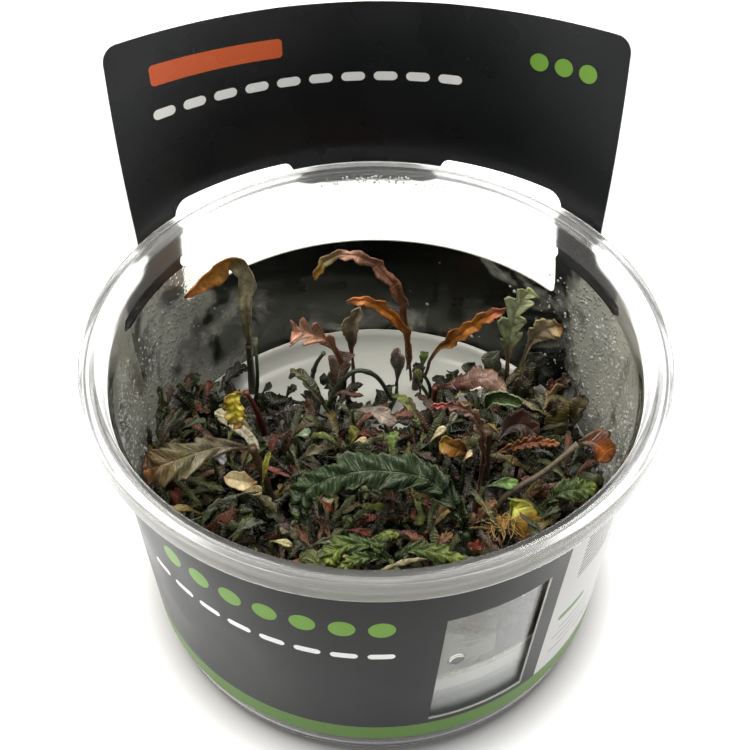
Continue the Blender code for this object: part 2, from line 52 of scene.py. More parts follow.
# Adds one node and sets its properties; its inputs are a list in the node's own order, or a dictionary,
# of plain values, nodes (which give their first output) and sockets
def addNode(material, kind, inputs=(), **settings):
    node = material.node_tree.nodes.new("ShaderNode" + kind)
    for key, value in settings.items():
        setattr(node, key, value)
    for key, value in inputs.items() if isinstance(inputs, dict) else enumerate(inputs):
        if isinstance(value, (bpy.types.Node, bpy.types.NodeSocket)):
            feed(material, value, node, key)
        else:
            node.inputs[key].default_value = value
    return node


def feed(material, source, node, name):
    socket = source.outputs[0] if isinstance(source, bpy.types.Node) else source
    material.node_tree.links.new(socket, node.inputs[name])


def newMaterial(name, colour, **values):
    material = bpy.data.materials.new(name)
    material.use_nodes = True
    shader = material.node_tree.nodes["Principled BSDF"]
    shader.inputs["Base Color"].default_value = linear(colour)
    for key, value in values.items():
        shader.inputs[key.replace("_", " ")].default_value = value
    return material, shader


# Roughness that varies in patches, from noise
def varySheen(material, shader, scale, detail, sheen, contrast=(0.0, 1.0)):
    place = addNode(material, "TexCoord").outputs["Object"]
    patches = addNode(material, "TexNoise", {"Vector": place, "Scale": scale, "Detail": detail})
    feed(material, addNode(material, "MapRange", [patches, *contrast, *sheen]), shader, "Roughness")


# Fine relief from noise, its height in metres
def addRelief(material, shader, scale, detail, strength, height):
    place = addNode(material, "TexCoord").outputs["Object"]
    grain = addNode(material, "TexNoise", {"Vector": place, "Scale": scale, "Detail": detail})
    bump = addNode(material, "Bump", {"Height": grain, "Strength": strength, "Distance": height})
    feed(material, bump, shader, "Normal")


def newPieceMesh():
    bm = bmesh.new()
    bm.loops.layers.uv.new("blade")
    bm.verts.layers.float_color.new("tint")
    return bm


def finishPiece(bm, name, materials, replaces=(), thickness=0):
    mesh = bpy.data.meshes.new(name)
    bm.to_mesh(mesh)
    bm.free()
    piece = bpy.data.objects.new(name, mesh)
    scene.collection.objects.link(piece)
    for material in materials:
        mesh.materials.append(material)
    mesh.shade_smooth()
    if thickness:
        skin = piece.modifiers.new("thickness", "SOLIDIFY")
        skin.thickness = thickness * mm
        skin.offset = 0
    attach(piece, "root")
    for node in replaces:
        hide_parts(node)
    return piece


def smoothStep(value):
    value = min(1.0, max(0.0, value))
    return value * value * (3 - 2 * value)


# Camera, light table and soft light

view = {
    "place": (-0.00017, -0.18066, 0.24247),
    "pitchDown": 46.06,
    "lens": 72.0,      # on a 36 mm wide sensor
}
camera = bpy.data.objects.new("camera", bpy.data.cameras.new("camera"))
camera.data.lens = view["lens"]
camera.data.sensor_width = 36.0
camera.data.clip_start = 0.005
camera.location = view["place"]
camera.rotation_euler = (radians(90 - view["pitchDown"]), 0, 0)
scene.collection.objects.link(camera)
scene.camera = camera

studio = {
    "tableSize": 30.0,
    "tableDrop": 0.0004,
    "tableGlow": 1.35,
    # shade: painted shade of the cup on the table, the glow fading out between these distances
    "shade": (0.041, 0.054, 0.05),      # from and to this far from the middle, and the glow left inside
    # painted shade in front of the cup: from and to this far forward, and the glow left in front
    "frontShadeEdge": (-0.065, -0.042, 0.45),
    "zenith": 0.45,
    "horizon": 0.36,
    "lampTone": "FFFAF3",
    "lamps": [((-0.34, 0.04, 0.66), 0.4, 5.6), ((0.28, 0.1, 0.7), 0.35, 3.8)],
}
world = bpy.data.worlds.new("soft studio")
scene.world = world
world.use_nodes = True
direction = addNode(world, "TexCoord")
tilt = addNode(world, "SeparateXYZ", [direction.outputs["Generated"]])
brightness = addNode(world, "MapRange", [
    tilt.outputs["Z"], 0.0, 0.9, studio["horizon"], studio["zenith"]], interpolation_type="SMOOTHSTEP")
background = world.node_tree.nodes["Background"]
background.inputs["Color"].default_value = (1, 1, 1, 1)
feed(world, brightness, background, "Strength")
for place, size, power in studio["lamps"]:
    lamp = bpy.data.objects.new("soft box", bpy.data.lights.new("soft box", "AREA"))
    lamp.data.size = size
    lamp.data.color = linear(studio["lampTone"])[:3]
    lamp.data.energy = power
    lamp.location = place
    lamp.rotation_euler = Vector(place).to_track_quat("Z", "Y").to_euler()
    scene.collection.objects.link(lamp)
scene.view_settings.view_transform = "Standard"

# Opal acrylic light table: pale, lit a little from below, so that shadows on it stay faint
tableMaterial, tableShader = newMaterial("opal acrylic table", "A8A8A6", Roughness=0.6)
tableShader.inputs["Emission Color"].default_value = (1, 1, 1, 1)
# Painted shade: under and around the cup's foot the table's glow fades almost out, for the cup's shadow
spot = addNode(tableMaterial, "TexCoord").outputs["Object"]
distance = addNode(tableMaterial, "VectorMath", [spot], operation="LENGTH").outputs["Value"]
glow = addNode(tableMaterial, "MapRange", [distance, *studio["shade"], studio["tableGlow"]])
# Painted shade: in front of the cup the glow falls to under half, which darkens what the cup's front wall mirrors
axes = addNode(tableMaterial, "SeparateXYZ", [spot])
lit = addNode(tableMaterial, "MapRange", [axes.outputs["Y"], *studio["frontShadeEdge"], 1.0])
glow = addNode(tableMaterial, "Math", [glow, lit], operation="MULTIPLY")
feed(tableMaterial, glow, tableShader, "Emission Strength")
bm = bmesh.new()
bmesh.ops.create_grid(bm, x_segments=1, y_segments=1, size=studio["tableSize"] / 2,
                      matrix=Matrix.Translation((0, 0, -studio["tableDrop"])))
tableMesh = bpy.data.meshes.new("table")
bm.to_mesh(tableMesh)
bm.free()
tableMesh.materials.append(tableMaterial)
table = bpy.data.objects.new("table", tableMesh)
scene.collection.objects.link(table)
print("camera, table and lights")


# Cup: injection-moulded clarified polypropylene, glossy, almost colourless, misted inside by the plants.
# Its index of refraction is set below the plastic's real 1.49, because the photographed wall mirrors less

cup = {
    "height": 62.5,
    "rim": 50.5,
    "skirt": 3.9,
    "base": 41.7,
    "taper": 0.078,
    "foot": 2.5,
    "wall": 0.8,
    "shoulder": 56.0,
    "steps": 480,
    "wideDrop": (0.01331, -0.04092, 0.0296),
    "mistLow": 24.0,
    "mistHigh": 55.0,
}


def wallRadius(height):
    return cup["base"] + cup["taper"] * (height - cup["foot"])


# Pulls a point in from the cup's wall
def insideCup(point, gap):
    reach = wallRadius(point.z) - cup["wall"] - gap
    flat = hypot(point.x, point.y)
    return Vector((point.x * reach / flat, point.y * reach / flat, point.z)) if flat > reach else point


# A closed ring of revolution from (radius, height) points in mm
def spinProfile(points, steps):
    bm = bmesh.new()
    verts = [bm.verts.new((r * mm, 0, z * mm)) for r, z in points]
    edges = [bm.edges.new(pair) for pair in zip(verts, verts[1:])]
    if points[0][0] > 0.001:
        edges.append(bm.edges.new((verts[-1], verts[0])))
    bmesh.ops.spin(bm, geom=verts + edges, cent=(0, 0, 0), axis=(0, 0, 1), dvec=(0, 0, 0),
                   angle=2 * pi, steps=steps, use_merge=True)
    bmesh.ops.remove_doubles(bm, verts=bm.verts, dist=1e-6)
    bmesh.ops.recalc_face_normals(bm, faces=bm.faces)
    bm.normal_update()
    return bm


# Points on an arc, in degrees, 0 pointing outwards and 90 up
def arcPoints(centreR, centreZ, radius, start, end, count):
    angles = [radians(start + (end - start) * i / count) for i in range(count + 1)]
    return [(centreR + radius * cos(a), centreZ + radius * sin(a)) for a in angles]


top = cup["height"]
neck = wallRadius(cup["shoulder"])
inner = neck - cup["wall"]
skirtBottom = top - cup["skirt"]
cupProfile = (
    arcPoints(cup["rim"] - 0.6, top - 0.6, 0.6, 90, 0, 5)
    + arcPoints(cup["rim"] - 0.3, skirtBottom + 0.3, 0.3, 0, -180, 6)
    + [(cup["rim"] - 0.7, top - 2.0), (cup["rim"] - 0.95, top - 1.4)]
    + [(neck + 2.1, top - 1.2), (neck + 1.6, top - 2.0), (neck + 1.25, top - 4.2)]
    + [(neck + 0.7, cup["shoulder"] + 1.0), (neck + 0.1, cup["shoulder"] + 0.2)]
    + [(wallRadius(z), z) for z in (50, 40, 30, 20, 10, 4)]
    + arcPoints(cup["base"] - 2.4, cup["foot"], 2.4, 0, -80, 6)
    + [(38.6, 0.0), (37.6, 0.5), (20.0, 0.5), (0.0, 0.5)]
    + [(0.0, 1.3), (20.0, 1.3), (37.4, 1.3)]
    + arcPoints(cup["base"] - 3.2, cup["foot"] + 0.6, 2.4, -80, 0, 6)
    + [(wallRadius(z) - cup["wall"], z) for z in (4, 10, 20, 24, 32, 40, 48)]
    + [(inner, cup["shoulder"] - 0.4), (inner + 0.25, cup["shoulder"] + 0.4)]
    + [(inner + 0.9, cup["shoulder"] + 1.1), (inner + 1.2, cup["shoulder"] + 2.0)]
    + [(inner + 1.5, top - 2.0), (inner + 1.8, top - 1.0)]
    + arcPoints(inner + 2.7, top - 0.8, 0.8, 160, 90, 4)
    + [(inner + 3.4, top), (inner + 3.7, top - 0.2), (inner + 4.0, top)]
)
clearPlastic, clearShader = newMaterial("clarified polypropylene", "FBFCFC", IOR=1.35, Transmission_Weight=1.0)
# The mould's polish varies a little, in patches of about 6 mm
varySheen(clearPlastic, clearShader, 160.0, 2.0, (0.01, 0.06))

# Inside, drops of 0.3 to 0.9 mm stand in ragged patches of mist, thickest at the sides and low on the wall
mistyPlastic, mistyShader = newMaterial("polypropylene with condensation", "DCDED0", IOR=1.35)
place = addNode(mistyPlastic, "TexCoord").outputs["Object"]
patches = addNode(mistyPlastic, "TexNoise", {
    "Vector": place, "Scale": 60.0, "Detail": 5.0, "Roughness": 0.65, "Distortion": 0.4})
axes = addNode(mistyPlastic, "SeparateXYZ", [place])
away = addNode(mistyPlastic, "Math", [axes.outputs["X"]], operation="ABSOLUTE")
sides = addNode(mistyPlastic, "MapRange", [away, 0.024, 0.041, 0.0, 0.24])
low = addNode(mistyPlastic, "MapRange", [axes.outputs["Z"], 0.024, 0.045, 0.14, 0.0])
wetness = addNode(mistyPlastic, "Math", [patches, sides], operation="ADD")
wetness = addNode(mistyPlastic, "Math", [wetness, low], operation="ADD")
# On the front, the mist ends in the window's right part
forward = addNode(mistyPlastic, "MapRange", [axes.outputs["Y"], -0.024, -0.032])
edge = addNode(mistyPlastic, "MapRange", [axes.outputs["X"], 0.0195, 0.0215, 0.1, -0.5])
wetness = addNode(mistyPlastic, "Math", [forward, edge, wetness], operation="MULTIPLY_ADD")
# A wide drop in the window has drunk up the mist around it
besideDrop = addNode(mistyPlastic, "VectorMath", [place, cup["wideDrop"]], operation="DISTANCE")
drunk = addNode(mistyPlastic, "MapRange", [besideDrop.outputs["Value"], 0.0013, 0.0018, -0.6, 0.0])
wetness = addNode(mistyPlastic, "Math", [wetness, drunk], operation="ADD")
wet = addNode(mistyPlastic, "MapRange", [wetness, 0.6, 0.76], interpolation_type="SMOOTHSTEP")
drops = addNode(mistyPlastic, "TexVoronoi", {"Vector": place, "Scale": 1150.0, "Randomness": 1.0})
dome = addNode(mistyPlastic, "MapRange", [drops, 0.5, 0.05], interpolation_type="SMOOTHERSTEP")
beaded = addNode(mistyPlastic, "MapRange", [away, 0.026, 0.038, 0.05, 1.0])
height = addNode(mistyPlastic, "Math", [dome, wet], operation="MULTIPLY")
height = addNode(mistyPlastic, "Math", [height, beaded], operation="MULTIPLY")
relief = addNode(mistyPlastic, "Bump", {"Height": height, "Strength": 1.0, "Distance": 0.0003})
feed(mistyPlastic, relief, mistyShader, "Normal")
haze = addNode(mistyPlastic, "MapRange", [wet, 0.0, 1.0, 0.03, 0.24])
feed(mistyPlastic, haze, mistyShader, "Roughness")
clear = addNode(mistyPlastic, "MapRange", [wet, 0.0, 1.0, 1.0, 0.6])
feed(mistyPlastic, clear, mistyShader, "Transmission Weight")

# The thick flange is a little milkier than the thin wall, with polypropylene's own index of refraction
rimPlastic, rimShader = newMaterial("polypropylene flange", "F1F2F2", IOR=1.49, Transmission_Weight=0.96)
varySheen(rimPlastic, rimShader, 60.0, 2.0, (0.14, 0.26))

bm = spinProfile(cupProfile, cup["steps"])
for face in bm.faces:
    middle = face.calc_center_median()
    outward = face.normal.x * middle.x + face.normal.y * middle.y
    if cup["mistLow"] < middle.z / mm < cup["mistHigh"] and outward < 0:
        face.material_index = 1
    if middle.z / mm > cup["shoulder"] + 1.2:
        face.material_index = 2
finishPiece(bm, "clear_cup", [clearPlastic, mistyPlastic, rimPlastic], ["cup"])
print("cup")


# Card sleeve: coated carton, offset printed in black with a satin varnish

card = {
    "thickness": 0.36,
    "gap": 0.4,
    "bandBottom": 6.8,
    "sill": 46.5,
    "bandTop": 55.5,
    "tabBottom": 57.5,
    "windowTop": 63.0,
    "headerTop": 96.7,
    "headerRadius": 97.0,
    "flangeBack": 51.3,
    "headerBack": 52.1,
    "legRise": 12.0,
    "legArc": 50.0,
    "hugArc": 80.0,
    "turn": radians(2.0),
    "frontWindow": (8.1, 27.4, 12.3, 45.0),
    "printLean": 0.053,
    "slice": 2.0,
    "headerRows": 22,
    "uvSpan": 100,      # mm of flat card to one unit of its UV map
    "wrapFrom": -95,    # the print left of here goes on from the sheet's other end
}
sillRadius = wallRadius(card["sill"]) + card["gap"]
halfGirth = pi * sillRadius


# Where a point of the flat card lies once bent round the cup; arc runs from the middle of the back
def bendCard(arc, height):
    turn = arc / sillRadius - card["turn"]
    hug = wallRadius(height) + card["gap"]
    hugging = Vector((hug * sin(turn), hug * cos(turn), height)) * mm
    lean = smoothStep((card["hugArc"] - abs(arc)) / (card["hugArc"] - card["legArc"]))
    if height <= card["sill"] or lean == 0:
        return hugging
    lift = (height - card["sill"]) / (card["headerTop"] - card["sill"])
    curvature = (1 - lift) / sillRadius + lift / card["headerRadius"]
    rise = smoothStep((height - card["sill"]) / card["legRise"])
    back = sillRadius + (card["flangeBack"] - sillRadius) * rise
    back += (card["headerBack"] - card["flangeBack"]) * lift
    bend = arc * curvature
    place = Vector((sin(bend) / curvature, back - (1 - cos(bend)) / curvature, height))
    leaning = Matrix.Rotation(card["turn"], 3, "Z") @ place * mm
    return hugging.lerp(leaning, lean)


def cutCard(bm, place, normal):
    bmesh.ops.bisect_plane(bm, geom=bm.faces[:] + bm.edges[:] + bm.verts[:], dist=1e-5,
                           plane_co=place, plane_no=normal)


# Half of the flat card in mm, from the middle of the back to the middle of the front, with corner radii
bm = bmesh.new()
outline = [
    ((0, card["bandBottom"]), 0), ((halfGirth, card["bandBottom"]), 0),
    ((halfGirth, card["bandTop"]), 0), ((50.4, card["bandTop"]), 2.5),
    ((49.7, 60.0), 6), ((48.0, 95.6), 2.6), ((30.0, 96.4), 30), ((0, card["headerTop"]), 0),
    ((0, card["tabBottom"]), 0), ((9.6, card["tabBottom"]), 2.2), ((14.0, 60.0), 2.2),
    ((15.2, card["windowTop"]), 1.4), ((39.9, card["windowTop"]), 3.2), ((40.3, card["sill"]), 1.2),
    ((0, card["sill"]), 0),
]
corners = [bm.verts.new((arc, height, 0)) for (arc, height), radius in outline]
bm.faces.new(corners)
for corner, (place, radius) in zip(corners, outline):
    if radius:
        bmesh.ops.bevel(bm, geom=[corner], offset=radius, offset_type="OFFSET", affect="VERTICES",
                        segments=6, profile=0.5, material=-1, clamp_overlap=True)
left, right, low, high = card["frontWindow"]
for height in (low, high):
    cutCard(bm, (0, height, 0), (0, 1, 0))
for edge in (left, right):
    cutCard(bm, (halfGirth - edge, low, 0), (1, card["printLean"], 0))
bmesh.ops.mirror(bm, geom=bm.faces[:] + bm.edges[:] + bm.verts[:], axis="X", merge_dist=1e-4)
opening = []
for face in bm.faces:
    middle = face.calc_center_median()
    fromFront = halfGirth - middle.x - card["printLean"] * (middle.y - low)
    if left < fromFront < right and low < middle.y < high:
        opening.append(face)
bmesh.ops.delete(bm, geom=opening, context="FACES")
slices = int(2 * halfGirth / card["slice"])
for index in range(1, slices):
    cutCard(bm, (-halfGirth + 2 * halfGirth * index / slices, 0, 0), (1, 0, 0))
for index in range(1, card["headerRows"]):
    height = card["sill"] + (card["headerTop"] - card["sill"]) * index / card["headerRows"]
    cutCard(bm, (0, height, 0), (0, 1, 0))
flat = bm.loops.layers.uv.new("flat")
for face in bm.faces:
    wrap = 2 * halfGirth if face.calc_center_median().x < card["wrapFrom"] else 0
    for loop in face.loops:
        loop[flat].uv = ((loop.vert.co.x + wrap) / card["uvSpan"], loop.vert.co.y / card["uvSpan"])
for vert in bm.verts:
    vert.co = bendCard(vert.co.x, vert.co.y)
bmesh.ops.remove_doubles(bm, verts=bm.verts, dist=1e-5)
bmesh.ops.recalc_face_normals(bm, faces=bm.faces)


# A printed patch with rounded corners, or a row of them a pitch apart, as a mask; sizes in mm of flat card
def printedPatch(material, flatPlace, centre, size, corner, row=None):
    if row:
        pitch, count = row
        low, high = centre[0] - pitch / 2, centre[0] + pitch * (count - 0.5)
        wrapped = addNode(material, "VectorMath", [
            flatPlace, (centre[0] + pitch / 2, 500, 1), (low, -500, -1)], operation="WRAP")
        patch = printedPatch(material, wrapped, centre, size, corner)
        span = printedPatch(material, flatPlace, ((low + high) / 2, centre[1]), (high - low, 90), 0.01)
        return addNode(material, "Math", [patch, span], operation="MULTIPLY")
    offset = addNode(material, "VectorMath", [flatPlace, (*centre, 0)], operation="SUBTRACT")
    beyond = addNode(material, "VectorMath", [offset], operation="ABSOLUTE")
    straight = (size[0] / 2 - corner, size[1] / 2 - corner, 0)
    beyond = addNode(material, "VectorMath", [beyond, straight], operation="SUBTRACT")
    beyond = addNode(material, "VectorMath", [beyond, (0, 0, 0)], operation="MAXIMUM")
    length = addNode(material, "VectorMath", [beyond], operation="LENGTH")
    return addNode(material, "Math", [length.outputs["Value"], corner], operation="LESS_THAN")


def flatCard(material, lean):
    uv = addNode(material, "UVMap", uv_map="flat")
    span = (card["uvSpan"], card["uvSpan"], 0)
    millimetres = addNode(material, "VectorMath", [uv, span], operation="MULTIPLY")
    axes = addNode(material, "SeparateXYZ", [millimetres])
    upright = addNode(material, "Math", [axes.outputs["Y"], lean, axes.outputs["X"]], operation="MULTIPLY_ADD")
    return addNode(material, "CombineXYZ", [upright, axes.outputs["Y"]])


def overprint(material, under, ink, mask):
    mix = addNode(material, "Mix", {0: mask, 6: under, 7: linear(inks[ink])}, data_type="RGBA")
    return mix.outputs[2]


# Inks laid over each other on a plain ground, each patch as printedPatch reads it
def printSheet(material, ground, patches):
    colour = linear(inks[ground])
    for ink, *patch in patches:
        colour = overprint(material, colour, ink, printedPatch(material, *patch))
    return colour


# The carton's fibres show through the varnish as a relief about 0.4 mm across, and handling rubs it in patches
def varnishCarton(material, shader, sheen):
    addRelief(material, shader, 2400.0, 3.0, 0.25, 0.00006)
    varySheen(material, shader, 55.0, 4.0, sheen, (0.35, 0.65))


inks = {
    "black": "0D1014",
    "charcoal": "151719",
    "green": "54782F",
    "leafGreen": "709E38",
    "orange": "D45F30",
    "white": "F4F4F2",
    # The pale panel's white is printed grey: painted shade, for the sleeve's shaded right side
    "panelWhiteInShade": "BEBEBD",
    "grey": "8F9190",
    "darkGrey": "3A3C3E",
    "board": "B4B1A8",
}
front = halfGirth
cardOutside, outsideShader = newMaterial("satin varnished print", inks["charcoal"], Specular_IOR_Level=0.14)
varnishCarton(cardOutside, outsideShader, (0.26, 0.36))
sheet = flatCard(cardOutside, card["printLean"])
level = flatCard(cardOutside, 0.0)
shift = card["printLean"] * low
colour = printSheet(cardOutside, "charcoal", [
    ("green", level, (70, 8.9), (600, 4.2), 0.01, None),
    # the pale panel, in its grey as painted shade
    ("panelWhiteInShade", sheet, (front - 42.5 + shift, 34.2), (23.0, 46.0), 0.1, None),
    ("grey", sheet, (front - 39.5 + shift, 16.2), (12.0, 0.5), 0.2, None),
    ("grey", sheet, (front - 40.5 + shift, 18.4), (10.0, 0.5), 0.2, None),
    ("grey", sheet, (front - 39.5 + shift, 20.6), (12.0, 0.5), 0.2, None),
    ("grey", sheet, (front - 40.2 + shift, 22.8), (10.6, 0.5), 0.2, None),
    ("green", sheet, (front - 37.6 + shift, 26.6), (8.0, 1.6), 0.8, None),
    ("leafGreen", sheet, (front + 3.0, 44.4), (4.4, 4.4), 2.2, (6.4, 7)),
    ("white", sheet, (front + 2.6, 36.0), (4.6, 1.5), 0.75, (6.2, 8)),
])
# Thin stripes, 0.5 mm on a 1.1 mm pitch, near the top of the pale panel
stripes = printedPatch(cardOutside, sheet, (front - 41.0 + shift, 43.0), (10.4, 13.0), 0.4)
axes = addNode(cardOutside, "SeparateXYZ", [sheet])
beat = addNode(cardOutside, "Math", [axes.outputs["Y"], 1.1], operation="MODULO")
beat = addNode(cardOutside, "Math", [beat, 0.5], operation="LESS_THAN")
stripes = addNode(cardOutside, "Math", [stripes, beat], operation="MULTIPLY")
colour = overprint(cardOutside, colour, "darkGrey", stripes)
feed(cardOutside, colour, outsideShader, "Base Color")

cardInside, insideShader = newMaterial("satin varnished print on the inner face", inks["black"])
varnishCarton(cardInside, insideShader, (0.24, 0.34))
level = flatCard(cardInside, 0.0)
colour = printSheet(cardInside, "board", [
    ("black", level, (0, 60), (116, 120), 2.0, None),
    ("orange", level, (-27.7, 88.3), (24.8, 3.9), 0.8, None),
    ("white", level, (-38.4, 81.0), (4.4, 1.9), 0.95, (6.0, 10)),
    ("leafGreen", level, (31.8, 87.4), (3.4, 3.4), 1.7, (4.6, 3)),
])
feed(cardInside, colour, insideShader, "Base Color")

# The cut shows the white core of the board, a little fuzzy
cardEdge, edgeShader = newMaterial("cut edge of white carton", "E2E0DA", Roughness=0.85)
addRelief(cardEdge, edgeShader, 3500.0, 2.0, 0.5, 0.0001)

sleeve = finishPiece(bm, "printed_card", [cardOutside, cardInside, cardEdge], ["card_sleeve"])
shell = sleeve.modifiers.new("board", "SOLIDIFY")
shell.thickness = card["thickness"] * mm
shell.offset = 1.0
shell.material_offset = 1
shell.material_offset_rim = 2
sleeve.modifiers.new("crisp cut edges", "EDGE_SPLIT")
print("card sleeve")


# Gel: clear agar, faintly warm, smooth on top with a meniscus that climbs the wall

gelMaterial, gelShader = newMaterial("agar gel, milky towards the top, painted darker below", "ECEADF", Roughness=0.2, IOR=1.335)
# The pale band along the gel's edge is dried agar, and also a painted highlight for the meniscus's bright line
filmWithHighlight, filmWithHighlightShader = newMaterial("agar dried to a pale film at its edge", "F0EEE4", IOR=1.45, Transmission_Weight=0.3)
place = addNode(gelMaterial, "TexCoord").outputs["Object"]
height = addNode(gelMaterial, "SeparateXYZ", [place]).outputs["Z"]
clear = addNode(gelMaterial, "MapRange", [height, 0.017, 0.0204, 0.97, 0.42])
feed(gelMaterial, clear, gelShader, "Transmission Weight")
# Painted shade: low down the gel is tinted a dark grey-blue, for its dim lower part; higher up it turns milky white
milkAndLowShade = addNode(gelMaterial, "Mix", {0: clear, 6: linear("FFFDF2"), 7: linear("9EA8A6")}, data_type="RGBA")
feed(gelMaterial, milkAndLowShade.outputs[2], gelShader, "Base Color")
addRelief(gelMaterial, gelShader, 120.0, 2.0, 0.12, 0.0006)
varySheen(filmWithHighlight, filmWithHighlightShader, 400.0, 3.0, (0.1, 0.5))
gelProfile = (
    [(0.0, 20.5), (15.0, 20.5), (30.0, 20.5), (37.5, 20.6)]
    + [(39.5, 21.0), (40.8, 22.0), (41.6, 23.4), (42.1, 24.9)]
    + [(wallRadius(z) - 1.0, z) for z in (24.7, 24.5, 18, 10, 4)]
    + arcPoints(cup["base"] - 3.4, cup["foot"] + 0.9, 2.2, 0, -80, 5)
    + [(20.0, 1.6), (0.0, 1.6)]
)
gel = {
    "steps": 96,
    "filmWithHighlightFrom": 24.4,
}
bm = spinProfile(gelProfile, gel["steps"])
# Painted highlight: the gel's top edge band takes the pale film
for face in bm.faces:
    if face.calc_center_median().z / mm > gel["filmWithHighlightFrom"]:
        face.material_index = 1
finishPiece(bm, "agar", [gelMaterial, filmWithHighlight], ["gel"])
print("gel")


# Leaves: thin living blades under a waxy skin; a paler midrib, side veins into the lobes and a fine net between

def leafSkin(name, vein, veinShare, roughness, crinkle, glow, depth=1.0):
    material, shader = newMaterial(name, "4A5A30", IOR=1.45, Roughness=roughness)
    shader.inputs["Subsurface Weight"].default_value = glow
    shader.inputs["Subsurface Radius"].default_value = (0.9, 0.6, 0.25)
    shader.inputs["Subsurface Scale"].default_value = 0.0006
    tint = addNode(material, "Attribute", attribute_name="tint")
    axes = addNode(material, "SeparateXYZ", [addNode(material, "UVMap", uv_map="blade")])
    side = addNode(material, "Math", [axes.outputs["X"], 2.0, -1.0], operation="MULTIPLY_ADD")
    side = addNode(material, "Math", [side], operation="ABSOLUTE")
    rib = addNode(material, "MapRange", [side, 0.03, 0.09, 1.0, 0.0], interpolation_type="SMOOTHSTEP")
    lobes = addNode(material, "Math", [axes.outputs["Y"], 10.0], operation="MULTIPLY")
    swing = addNode(material, "Math", [lobes, 0.5], operation="PINGPONG")
    branch = addNode(material, "MapRange", [swing, 0.43, 0.49], interpolation_type="SMOOTHSTEP")
    fading = addNode(material, "MapRange", [side, 0.5, 1.0, 1.0, 0.3])
    branch = addNode(material, "Math", [branch, fading], operation="MULTIPLY")
    veins = addNode(material, "Math", [rib, branch], operation="MAXIMUM")
    # Finer veins, six to a lobe, run forward from the rib
    forward = addNode(material, "Math", [lobes, 6.0, side], operation="MULTIPLY_ADD")
    swing = addNode(material, "Math", [forward, 0.5], operation="PINGPONG")
    fine = addNode(material, "MapRange", [swing, 0.28, 0.48, 0.0, 0.55])
    lines = addNode(material, "Math", [veins, fine], operation="MAXIMUM")
    place = addNode(material, "TexCoord").outputs["Object"]
    mottle = addNode(material, "TexNoise", {"Vector": place, "Scale": 650.0, "Detail": 5.0, "Roughness": 0.7})
    shade = addNode(material, "MapRange", [mottle, 0.3, 0.7, 0.4 * depth, 1.5 * depth])
    flesh = addNode(material, "VectorMath", {0: tint, "Scale": shade}, operation="SCALE")
    share = addNode(material, "Math", [lines, veinShare], operation="MULTIPLY")
    colour = addNode(material, "Mix", {0: share, 6: flesh, 7: linear(vein)}, data_type="RGBA")
    feed(material, colour.outputs[2], shader, "Base Color")
    grooves = addNode(material, "Math", [fine, 0.4, veins], operation="MULTIPLY_ADD")
    grooves = addNode(material, "Math", [grooves, -1.0], operation="MULTIPLY")
    relief = addNode(material, "Math", [mottle, 0.8, grooves], operation="MULTIPLY_ADD")
    relief = addNode(material, "Bump", {"Height": relief, "Strength": crinkle, "Distance": 0.0004})
    feed(material, relief, shader, "Normal")
    return material


leafSkins = {
    "leaf_grey_olive": leafSkin("old leaf, grey-olive", "A39B7C", 0.3, 0.36, 0.5, 0.04),
    "leaf_pink_brown": leafSkin("young leaf, pink-brown", "B89078", 0.12, 0.32, 0.45, 0.05),
    "leaf_orange": leafSkin("ageing leaf, orange", "C98A50", 0.1, 0.34, 0.35, 0.08),
    "leaf_pale_green": leafSkin("leaf, pale green with a bloom", "9A7C6C", 0.35, 0.38, 0.5, 0.05),
    "leaf_olive": leafSkin("leaf, olive with strong veins", "A39670", 0.22, 0.2, 0.8, 0.02),
    "leaf_maroon": leafSkin("leaf, maroon", "84604C", 0.08, 0.3, 0.4, 0.03),
    "leaf_bright_green": leafSkin("young leaf, bright green", "98A468", 0.25, 0.2, 0.8, 0.03, 0.85),
    "leaf_dark_green": leafSkin("grown leaf, dark green and quilted", "8E9672", 0.16, 0.2, 1.0, 0.0, 0.9),
    "leaf_yellow": leafSkin("dying leaf, yellow", "D2B860", 0.12, 0.32, 0.35, 0.08),
    "leaf_cream": leafSkin("bleached leaf, cream", "D9CBA0", 0.2, 0.4, 0.3, 0.1),
}


# A point at share t of a smooth curve through the given points
def alongPath(points, t):
    spans = len(points) - 1
    index = min(int(t * spans), spans - 1)
    u = t * spans - index
    b, c = Vector(points[index]), Vector(points[index + 1])
    a = Vector(points[index - 1]) if index else 2 * b - c
    d = Vector(points[index + 2]) if index + 2 <= spans else 2 * c - b
    return 0.5 * (2 * b + (c - a) * u + (2 * a - 5 * b + 4 * c - d) * u * u + (3 * b - a - 3 * c + d) * u ** 3)


def colourAt(stops, t):
    for (start, first), (end, second) in zip(stops, stops[1:]):
        if t <= end:
            mix = (t - start) / max(end - start, 1e-6)
            return Vector(linear(first)[:3]).lerp(Vector(linear(second)[:3]), min(1, max(0, mix)))
    return Vector(linear(stops[-1][1])[:3])


# What a leaf has unless its own entry says otherwise
usualLeaf = {
    "stalk": 0.12,        # share of the length below the blade
    "petiole": 0.07,      # half the stalk's width, as a share of the blade's
    "widest": 0.4, "blunt": 4,
    "stagger": 0, "roundness": 1.9, "slant": 0.7, "teeth": 0.07,      # the lobes
    "curl": 0.4, "fold": 0.15, "quilt": 0.12, "keel": 0.12, "wave": 0.25, "twist": 0, "rough": 0.3,
    "rim": "7A5A40", "rimShare": 0.5,
}


